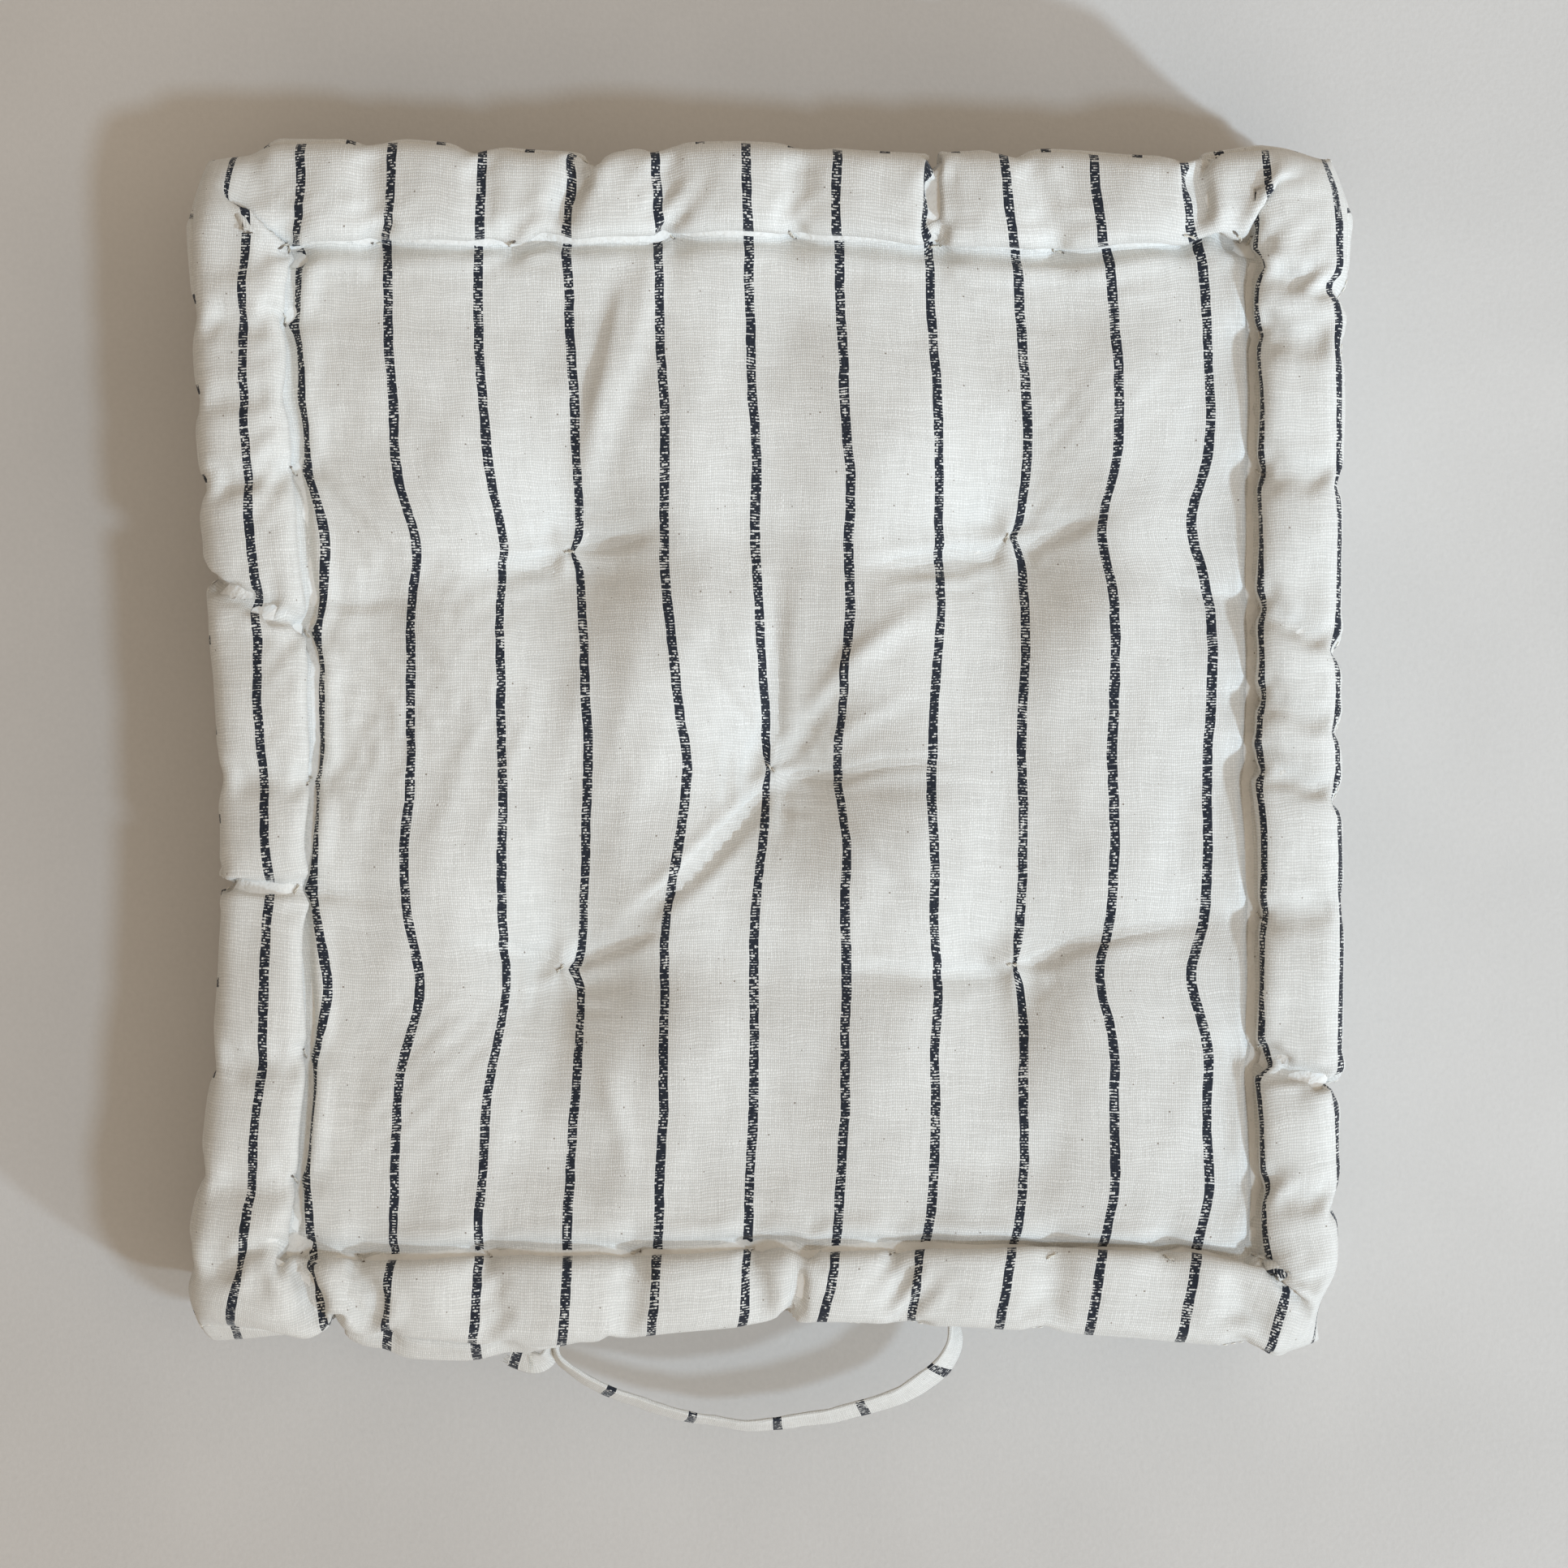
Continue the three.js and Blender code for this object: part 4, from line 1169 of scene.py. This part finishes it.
def stripedCanvas(weave):
    finish, tree, shader = newFinish("stripedCanvas", 0.88, 0.18)
    cut = tree.nodes.new("ShaderNodeUVMap")
    cut.uv_map = "cut"
    place = cut.outputs[0]
    woven = groupNode(tree, weave, place)
    dark, height, tone = woven.outputs["Dark"], woven.outputs["Height"], woven.outputs["Tone"]
    cream = blended(tree, tone, canvas["shade"], canvas["light"])
    patches = calc(tree, "MULTIPLY_ADD", noiseOf(tree, place, 28.0, 3.0), 0.07, 0.965)
    # Low places between the threads are painted darker as shade, and broad patches vary the cream's tone.
    gapShadeAndPatches = calc(tree, "MULTIPLY", calc(tree, "MULTIPLY_ADD", height, 0.34, 0.80), patches)
    cream = blended(tree, 1.0, cream, tripled(tree, gapShadeAndPatches), "MULTIPLY")
    cream = blended(tree, calc(tree, "MULTIPLY", woven.outputs["Nep"], 0.75), cream, canvas["fleck"])
    # Dark warp is painted lighter on the raised crowns of its threads, a painted highlight scaled by each
    # thread's own tone.
    ink = blended(tree, calc(tree, "MULTIPLY", tone, height), canvas["stripe"], canvas["stripeCrownHighlight"])
    tree.links.new(blended(tree, dark, cream, ink), shader.inputs["Base Color"])
    rough = calc(tree, "MULTIPLY_ADD", height, -0.08, 0.93)
    tree.links.new(rough, shader.inputs["Roughness"])
    creased = bumped(tree, noiseOf(tree, place, 85.0, 3.0), 0.35, canvas["wrinkleDepth"])
    tree.links.new(bumped(tree, height, 0.5, canvas["weaveDepth"], creased), shader.inputs["Normal"])
    return finish


def tripled(tree, value):
    node = tree.nodes.new("ShaderNodeCombineColor")
    for socket in node.inputs:
        tree.links.new(value, socket)
    return node.outputs[0]


def fibreFinish(name, fibre, light, shade, scale, depth, sheen=0.2, paintedHoleShade=None):
    finish, tree, shader = newFinish(name, 0.92, sheen)
    where = tree.nodes.new("ShaderNodeTexCoord").outputs["Object"]
    spun = groupNode(tree, fibre, where, Scale=scale)
    colour = blended(tree, spun.outputs["Tone"], shade, light)
    # Raised fibre is painted towards the light colour, so its hollows carry painted shade.
    colour = blended(tree, calc(tree, "MULTIPLY_ADD", spun.outputs["Height"], 0.5, 0.0), colour, light)
    # Near both ends of each line the colour is painted dark, a painted shade where the twine goes into its
    # holes.
    if paintedHoleShade is not None:
        along = tree.nodes.new("ShaderNodeAttribute")
        along.attribute_name = "along"
        off = calc(tree, "ABSOLUTE", calc(tree, "MULTIPLY_ADD", along.outputs["Fac"], 2.0, -1.0))
        ends = calc(tree, "MULTIPLY", calc(tree, "GREATER_THAN", off, 0.55), 0.8)
        colour = blended(tree, ends, colour, paintedHoleShade)
    tree.links.new(colour, shader.inputs["Base Color"])
    tree.links.new(bumped(tree, spun.outputs["Height"], 0.6, depth), shader.inputs["Normal"])
    return finish


weaveGroup, fibreGroup = plainWeave(), spunFibre()
canvasFinish = stripedCanvas(weaveGroup)
waddingFinish = fibreFinish(
    "cottonWadding", fibreGroup, (0.86, 0.84, 0.8), (0.74, 0.71, 0.65), 420.0, 0.0015, 0.4
)
# Cotton twine, painted dark at the ends of each line as shade where it goes into the cloth.
twineFinish = fibreFinish(
    "cottonTwine", fibreGroup, (0.80, 0.76, 0.68), (0.55, 0.49, 0.40), 1900.0, 0.0002,
    paintedHoleShade=(0.10, 0.075, 0.06),
)
threadFinish = fibreFinish("sewingThread", fibreGroup, (0.84, 0.81, 0.74), (0.70, 0.65, 0.56), 2600.0, 0.0001)
for piece in (topPanel, bottomPanel, *borderStrips.values()):
    piece.data.materials.append(canvasFinish)
waddingPiece.data.materials.append(waddingFinish)
print("stage: finishes")


surfaces = {}


# Where a straight line first meets a piece of the cover, in millimetres round the cushion's middle.
def meets(piece, start, toward):
    if piece.name not in surfaces:
        mesh = piece.data
        surfaces[piece.name] = BVHTree.FromPolygons(
            [v.co.copy() for v in mesh.vertices], [tuple(p.vertices) for p in mesh.polygons]
        )
    spot, facing, _, _ = surfaces[piece.name].ray_cast(Vector(placed(start)), Vector(toward))
    if spot is None:
        return None, None
    return np.array(spot) / mm - middle * [1, 1, 0], np.array(facing)


# A short bar of thread laid on the cloth between two holes, as points in metres.
def bar(piece, centre, direction, length, toward, radius, stand):
    points = []
    for s in np.linspace(-1, 1, 11):
        start = np.array(centre) - np.array(toward) * stand + np.array(direction) * s * length / 2
        spot, facing = meets(piece, start, toward)
        if spot is None:
            continue
        lift = radius * (1.0 - 4.2 * max(0, abs(s) - 0.62) / 0.38)
        points.append(spot + facing * lift)
    if len(points) < 5:
        return None
    points = np.array(points)
    mid = points[2:-2]
    chord = np.linspace(0, 1, len(mid))[:, None]
    straight = points[2] * (1 - chord) + points[-3] * chord
    up = -np.array(toward)
    rise = np.maximum((mid @ up), (straight @ up) - 0.6) - mid @ up
    points[2:-2] += rise[:, None] * up
    return placed(points)


edgeTwine = {
    "radius": 0.55,
    "faceLength": 6.5,
    "borderLength": 6.0,
    "borderDrop": 23.0,  # from a seam down to the row of stitches on the border
    "oblique": 40.0,  # most that a stitch leans, in degrees
    "twist": 900.0,
}
threads, stitching = threadTree(), stitchTree()
dice = np.random.default_rng(11)
down, up = (0, 0, -1), (0, 0, 1)


def runOfTwine(side, under):
    axis, out, sign = sideOf[side]
    panel = bottomPanel if under else topPanel
    inward = np.zeros(3)
    inward[out] = -sign
    lines = []
    for along, inset in stitches[side]:
        lean = math.radians(dice.uniform(-1, 1) * edgeTwine["oblique"])
        direction = np.zeros(3)
        direction[axis], direction[out] = math.cos(lean), math.sin(lean)
        at = np.zeros(3)
        at[axis], at[out] = along, sign * (halves[out] - inset)
        at[2] = 0 if under else topZ
        length = edgeTwine["faceLength"] * dice.uniform(0.8, 1.2)
        lines.append(bar(panel, at, direction, length, up if under else down, edgeTwine["radius"], 60.0))
        at[out] = sign * halves[out]
        at[2] = underSeamZ + edgeTwine["borderDrop"] if under else topSeamZ - edgeTwine["borderDrop"]
        direction = np.zeros(3)
        direction[axis], direction[2] = math.cos(lean), math.sin(lean)
        length = edgeTwine["borderLength"] * dice.uniform(0.8, 1.2)
        lines.append(bar(borderStrips[side], at, direction, length, inward, edgeTwine["radius"], 60.0))
    name = ("underEdgeTwine_" if under else "topEdgeTwine_") + side
    return grown(
        name, [line for line in lines if line is not None], threads,
        Radius=edgeTwine["radius"] * mm, Twist=edgeTwine["twist"], Sides=6, Finish=twineFinish,
    )


twineRuns = {(side, under): runOfTwine(side, under) for side in sideOf for under in (False, True)}
print("stage: edge twine")


tuft = {
    "radius": 0.7,
    "length": 6.0,
    "turns": {"middle": -38, "back_left": 2, "back_right": 84, "front_left": 48, "front_right": -6},
    "knot": 0.75,
    "tail": 12.0,
}


# An overhand knot lying against the underside, with its two tails.
def knotLines(spot, turn):
    t = np.linspace(0, 2 * math.pi, 30)[:-2]
    shape = np.stack([
        np.sin(t) + 2 * np.sin(2 * t), np.cos(t) - 2 * np.cos(2 * t), -0.9 * np.sin(3 * t) - 2.6,
    ], 1)
    knot = spot + shape * tuft["knot"]
    tails = []
    for end, way in ((knot[0], turn), (knot[-1], turn + 2.2)):
        s = np.linspace(0, 1, 9)[:, None]
        swing = np.concatenate([np.cos(way + 0.7 * s), np.sin(way + 0.7 * s), 0 * s], 1)
        tail = end + swing * s * tuft["tail"] + [0, 0, 1] * (0.9 * s)
        tail[:, 2] = np.maximum(tail[:, 2], 1.2)
        tails.append(placed(tail))
    return [placed(knot), *tails]


def tuftPiece(name):
    x, y = tuftAt[name]
    turn = math.radians(tuft["turns"][name])
    direction = (math.cos(turn), math.sin(turn), 0)
    over, _ = meets(topPanel, (x, y, topZ + 20), down)
    under, _ = meets(bottomPanel, (x, y, -20), up)
    lines = [bar(topPanel, (x, y, topZ), direction, tuft["length"], down, tuft["radius"], 20.0)]
    lines.append(bar(bottomPanel, (x, y, 0), direction, tuft["length"], up, tuft["radius"], 20.0))
    for sign in (-1, 1):
        foot = np.array([x, y, 0]) + np.array(direction) * sign * tuft["length"] * 0.36
        heights = np.linspace(under[2] + 0.5, over[2] - 0.5, 8)
        lines.append(placed([foot * [1, 1, 0] + [0, 0, z] for z in heights]))
    lines += knotLines(np.array([x, y, max(under[2], 4.4)]), turn)
    return grown(
        "tuft_" + name, [line for line in lines if line is not None], threads,
        Radius=tuft["radius"] * mm, Twist=1100.0, Sides=6, Finish=twineFinish,
    )


tuftPieces = {name: tuftPiece(name) for name in tuftAt}
print("stage: tufts")


seam = {"radius": 0.34, "length": 2.9, "pitch": 3.5, "depth": 0.55, "cornerRadius": 0.3}


def seamLine(points, normals):
    return placed(doubled(points) - doubled(normals) * seam["depth"])


def perimeterSeam(name, row):
    ring = np.concatenate([row, row[:1]])
    line = seamLine(clothPoints[ring], clothNormals[ring])
    return grown(
        name, [line], stitching,
        Pitch=seam["pitch"] * mm, Length=seam["length"] * mm, Radius=seam["radius"] * mm, Finish=threadFinish,
    )


topSeam = perimeterSeam("topSeam", coverNet["lattice"][0])
bottomSeam = perimeterSeam("bottomSeam", coverNet["lattice"][-1])
cornerSeams = []
for cornerIndex in range(4):
    column = coverNet["lattice"][1:-1, cornerIndex * coverNet["cells"]]
    cornerSeams.append(grown(
        f"cornerSeam_{cornerIndex + 1}", [seamLine(clothPoints[column], clothNormals[column])], stitching,
        Pitch=seam["pitch"] * mm, Length=seam["length"] * mm, Radius=seam["cornerRadius"] * mm,
        Finish=threadFinish,
    ))
print("stage: seams")


# The handle is one folded tape, cut across the stripes.
handle = {
    "width": 15.5,
    "thickness": 2.3,
    "rings": 150,
    "endRings": {"left": 40, "right": 24},
    "frayCount": 16,
    # place in the frame and lean of the tape, in degrees, from its left end to its right
    "path": [
        (-93, -229, 50.0, 4), (-94.5, -240, 50.0, 8), (-94.0, -250.5, 49.5, 13), (-85, -259.5, 48.0, 19),
        (-71, -266.8, 46.5, 21), (-46, -275.8, 44.0, 21), (-15.5, -282.0, 42.0, 20), (6, -281.5, 41.5, 25),
        (45, -273.5, 42.5, 31), (61.5, -266.9, 44.0, 34), (76.5, -254.5, 47.0, 36), (81, -244.5, 49.0, 26),
        (80.5, -236, 50.0, 12), (80, -229, 50.0, 4),
    ],
    "stripeAt": -71.1,  # one of its stripes, across the cushion
    "leftEnd": [(-114, -250.5, 48.5, 44), (-109, -252.5, 48.7, 46), (-103, -253.8, 49.2, 44),
                (-98, -251.5, 49.8, 30), (-96, -244.0, 50.2, 12), (-95.6, -234.0, 50.0, 4)],
    "rightEnd": [(80.5, -229.5, 50, 2), (84, -227.4, 50, 1), (90, -226.6, 50, 0), (101, -226.2, 50, 0)],
}


def smoothPath(knots, rings):
    knots = np.array(knots, float)
    chord = np.concatenate([[0], np.cumsum(np.linalg.norm(np.diff(knots[:, :3], axis=0), axis=1))])
    at = np.linspace(0, chord[-1], rings)
    return np.stack([through(list(zip(chord, column)), at) for column in knots.T], 1)


# A folded tape swept along a path, its stripes running across it.
def tape(name, knots, rings, stripeShift, seed, rawEnd=False):
    path = smoothPath(knots, rings)
    points, lean = path[:, :3], np.radians(path[:, 3])
    ahead = np.gradient(points, axis=0)
    ahead /= np.linalg.norm(ahead, axis=1)[:, None]
    upright = np.array([0, 0, 1.0]) - ahead * ahead[:, 2:]
    upright /= np.linalg.norm(upright, axis=1)[:, None]
    out = np.cross(ahead, upright)
    wide = upright * np.cos(lean)[:, None] - out * np.sin(lean)[:, None]
    face = upright * np.sin(lean)[:, None] + out * np.cos(lean)[:, None]
    run = np.concatenate([[0], np.cumsum(np.linalg.norm(np.diff(points, axis=0), axis=1))])
    a, b = handle["width"] / 2, handle["thickness"] / 2
    spread = np.linspace(-1, 1, 9)
    outline = [(a * 0.9 * s, b * (1 - 0.12 * s ** 4)) for s in spread]
    outline += [(a * 0.97, b * 0.62), (a, 0), (a * 0.97, -b * 0.62)]
    outline += [(a * 0.9 * s, -b * (1 - 0.12 * s ** 4)) for s in spread[::-1]]
    outline += [(-a * 0.98, -b * 0.7), (-a * 0.93, 0), (-a * 0.98, b * 0.7)]
    outline = np.array(outline)
    count = len(outline)
    edges = np.linalg.norm(np.diff(np.concatenate([outline, outline[:1]]), axis=0), axis=1)
    around = np.concatenate([[0], np.cumsum(edges)])[:-1]
    shape = outline[None] * np.ones((rings, 1, 1))
    s = run[:, None] + 0 * around[None]
    bow = ripple(s, 0 * s + 3.0, seed, 26)
    shape[..., 0] *= 1 + 0.03 * ripple(s, 0 * s, seed + 1, 30)
    rumple = 0.28 * ripple(s, around[None] + 0 * s, seed + 2, 11) * np.sign(shape[..., 1]) * 0.5
    shape[..., 1] += rumple + 0.3 * bow
    body = points[:, None] + wide[:, None] * shape[..., :1] + face[:, None] * shape[..., 1:]
    grid = np.arange(rings * count).reshape(rings, count)
    after = np.roll(grid, -1, 1)
    faces = np.stack([grid[:-1], grid[1:], after[1:], after[:-1]], -1).reshape(-1, 4).tolist()
    caps = len(faces)
    faces += [grid[0].tolist(), grid[-1, ::-1].tolist()]
    uv = np.stack([s - stripeShift, around[None] + 0 * s], -1).reshape(-1, 2) * mm
    frays = []
    if rawEnd:
        tugs = np.random.default_rng(seed)
        for _ in range(handle["frayCount"]):
            root = body[0, tugs.integers(count)]
            drift = -ahead[0] * tugs.uniform(1.2, 3.6) + wide[0] * tugs.uniform(-1, 1)
            drift = drift + face[0] * tugs.uniform(-0.8, 0.8)
            t = np.linspace(0, 1, 5)[:, None]
            curl = face[0] * t * t * tugs.uniform(-0.7, 0.7)
            frays.append((root + ahead[0] * 0.6 * (1 - t) + drift * t + curl) * mm)
    piece = newPiece(name, body.reshape(-1, 3) * mm, faces, uv, range(caps, len(faces)))
    turnOut(piece)
    piece.data.materials.append(canvasFinish)
    return piece, frays


def turnOut(piece):
    shell = bmesh.new()
    shell.from_mesh(piece.data)
    bmesh.ops.recalc_face_normals(shell, faces=shell.faces)
    shell.to_mesh(piece.data)
    shell.free()


def joined(first, second):
    for material in second.data.materials:
        if material.name not in first.data.materials:
            first.data.materials.append(material)
    with bpy.context.temp_override(active_object=first, selected_editable_objects=[first, second]):
        bpy.ops.object.join()
    return first


strapPath = smoothPath(handle["path"], handle["rings"])
strapRun = np.concatenate([[0], np.cumsum(np.linalg.norm(np.diff(strapPath[:, :3], axis=0), axis=1))])
firstStripe = float(np.interp(handle["stripeAt"], strapPath[8:100, 0], strapRun[8:100]))
handleStrap, _ = tape("handleStrap", handle["path"], handle["rings"], firstStripe, 31)
endRings = handle["endRings"]
handleEndLeft, frays = tape("handleEndLeft", handle["leftEnd"], endRings["left"], 2.6, 41, rawEnd=True)
handleEndRight, _ = tape("handleEndRight", handle["rightEnd"], endRings["right"], 9.0, 51)
frayed = grown("frays", frays, threads, Radius=0.12 * mm, Twist=1200.0, Sides=4, Finish=threadFinish)
handleEndLeft = joined(handleEndLeft, frayed)


tacks = {
    "left": (-105.0, -254.4, 49.2),
    "right": (88, -228.2, 50),
    "lean": 45,  # of the left one, with the turned-back end it holds
    "stitches": 11,
    "width": 11.5,
    "halfStitch": 1.5,
    "radius": 0.3,
}


# A bar tack: close stitches across the tape.
def tack(name, centre, across, along, facing):
    centre, across, along, facing = (np.array(v, float) for v in (centre, across, along, facing))
    lines = []
    for k in range(tacks["stitches"]):
        at = centre + across * (k / (tacks["stitches"] - 1) - 0.5) * tacks["width"]
        t = np.linspace(-1, 1, 7)[:, None]
        lines.append((at + along * t * tacks["halfStitch"] + facing * (0.35 - 0.9 * t ** 6)) * mm)
    return grown(
        name, lines, threads, Radius=tacks["radius"] * mm, Twist=1500.0, Sides=4, Finish=threadFinish,
    )


lean = math.radians(tacks["lean"])
tackLeft = tack("handleTackLeft", tacks["left"], (0, math.sin(lean), math.cos(lean)), (1, -0.15, 0),
                (0, -math.cos(lean), math.sin(lean)))
tackRight = tack("handleTackRight", tacks["right"], (0, 0, 1), (1, 0, 0), (0, -1, 0))
print("stage: handle")


# A plain pale floor, a high key light and a lower, harder beam from the front right, and a warm surround.
studio = {
    "height": 1.85,  # of the camera, above the floor
    "aim": (6.25, 0.76),
    "view": 670.8,  # width seen at the cushion's top
    "floor": (0.66, 0.632, 0.60),
    "floorShade": (0.54, 0.518, 0.49),
    "keyFrom": (2.20, -1.30, 3.85),
    "keySize": 0.45,
    "keyPower": 60.0,
    "keyColour": (0.60, 0.79, 1.0),
    "beamFrom": (0.586, -0.586, 0.559),
    "beamLength": 5.0,
    "beamAim": (0.53, 0.53, 0),  # brightest here, fading to the left
    "beamSize": 0.15,
    "beamSpread": 33.0,
    "beamPower": 700.0,
    "beamColour": (0.64, 0.82, 1.0),
    "surround": (1.0, 0.87, 0.72),
    "surroundPower": 0.50,
    "surroundFrom": (0.78, -0.45, 0.43),  # the brighter side of the room
    "surroundSwing": 0.75,
}


def newLight(name, place, size, power, colour):
    lamp = bpy.data.lights.new(name, "AREA")
    lamp.shape, lamp.size, lamp.energy, lamp.color = "DISK", size, power, colour
    holder = bpy.data.objects.new(name, lamp)
    holder.location = place
    holder.rotation_euler = (Vector(place) - Vector((0, 0, 0.05))).to_track_quat("Z", "Y").to_euler()
    bpy.context.scene.collection.objects.link(holder)


def newBeam():
    lamp = bpy.data.lights.new("beam", "SPOT")
    lamp.energy, lamp.color = studio["beamPower"], studio["beamColour"]
    lamp.shadow_soft_size = studio["beamSize"]
    lamp.spot_size, lamp.spot_blend = math.radians(studio["beamSpread"]), 1.0
    holder = bpy.data.objects.new("beam", lamp)
    toward = Vector(studio["beamFrom"]).normalized()
    holder.location = Vector(studio["beamAim"]) + toward * studio["beamLength"]
    holder.rotation_euler = toward.to_track_quat("Z", "Y").to_euler()
    bpy.context.scene.collection.objects.link(holder)


def buildStudio():
    scene = bpy.context.scene
    lens = bpy.data.cameras.new("camera")
    lens.sensor_width = 36
    lens.lens = lens.sensor_width * (studio["height"] - topZ * mm) / (studio["view"] * mm)
    camera = bpy.data.objects.new("camera", lens)
    camera.location = (studio["aim"][0] * mm, studio["aim"][1] * mm, studio["height"])
    scene.collection.objects.link(camera)
    scene.camera = camera
    ground = bpy.data.meshes.new("floor")
    far = 60.0
    ground.from_pydata([(-far, -far, 0), (far, -far, 0), (far, far, 0), (-far, far, 0)], [], [(0, 1, 2, 3)])
    floor = bpy.data.objects.new("floor", ground)
    scene.collection.objects.link(floor)
    finish, tree, shader = newFinish("paleFloor", 0.8, 0.0)
    where = tree.nodes.new("ShaderNodeTexCoord").outputs["Object"]
    mottle = calc(tree, "ADD", calc(tree, "MULTIPLY", noiseOf(tree, where, 9.0, 4.0), 0.6),
                  calc(tree, "MULTIPLY", noiseOf(tree, where, 420.0, 4.0), 0.4))
    tree.links.new(blended(tree, mottle, studio["floorShade"], studio["floor"]), shader.inputs["Base Color"])
    tree.links.new(bumped(tree, noiseOf(tree, where, 500.0, 4.0), 0.25, 0.0004), shader.inputs["Normal"])
    ground.materials.append(finish)
    newLight("key", studio["keyFrom"], studio["keySize"], studio["keyPower"], studio["keyColour"])
    newBeam()
    surround = bpy.data.worlds.new("surround")
    surround.use_nodes = True
    sky, glow = surround.node_tree, surround.node_tree.nodes["Background"]
    glow.inputs["Color"].default_value = (*studio["surround"], 1)
    facing = sky.nodes.new("ShaderNodeVectorMath")
    facing.operation = "DOT_PRODUCT"
    facing.inputs[1].default_value = studio["surroundFrom"]
    sky.links.new(sky.nodes.new("ShaderNodeTexCoord").outputs["Generated"], facing.inputs[0])
    share = calc(sky, "MULTIPLY_ADD", facing.outputs["Value"], studio["surroundSwing"], 1.0)
    sky.links.new(calc(sky, "MULTIPLY", share, studio["surroundPower"]), glow.inputs["Strength"])
    scene.world = surround
    scene.view_settings.view_transform = "Standard"


buildStudio()
print("stage: studio")


# Each piece rides on its body and stands for its parts of the frame.
def settle(piece, slot, *nodes, body="cushion"):
    if body is not None:
        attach(piece, body)
    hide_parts(*nodes)


settle(topPanel, "ticking", "top_panel")
settle(bottomPanel, "ticking", "bottom_panel")
for side, strip in borderStrips.items():
    settle(strip, "ticking", "border_strip_" + side)
settle(waddingPiece, "wadding", "wadding_core")
for (side, under), run in twineRuns.items():
    settle(run, "twine", ("under_edge_twine_" if under else "top_edge_twine_") + side)
for name, piece in tuftPieces.items():
    settle(piece, "twine", "tuft_twine_" + name)
settle(topSeam, "thread", "top_perimeter_seam")
settle(bottomSeam, "thread", "bottom_perimeter_seam")
for index, piece in enumerate(cornerSeams):
    settle(piece, "thread", f"corner_seam_{index + 1}")
settle(handleEndLeft, "ticking", "handle_tab_left")
settle(handleEndRight, "ticking", "handle_tab_right")
settle(tackLeft, "thread", "handle_tack_left")
settle(tackRight, "thread", "handle_tack_right")
settle(handleStrap, "ticking", "handle_loop", body=None)
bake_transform(handleStrap)
print("stage: pieces ride on the frame")
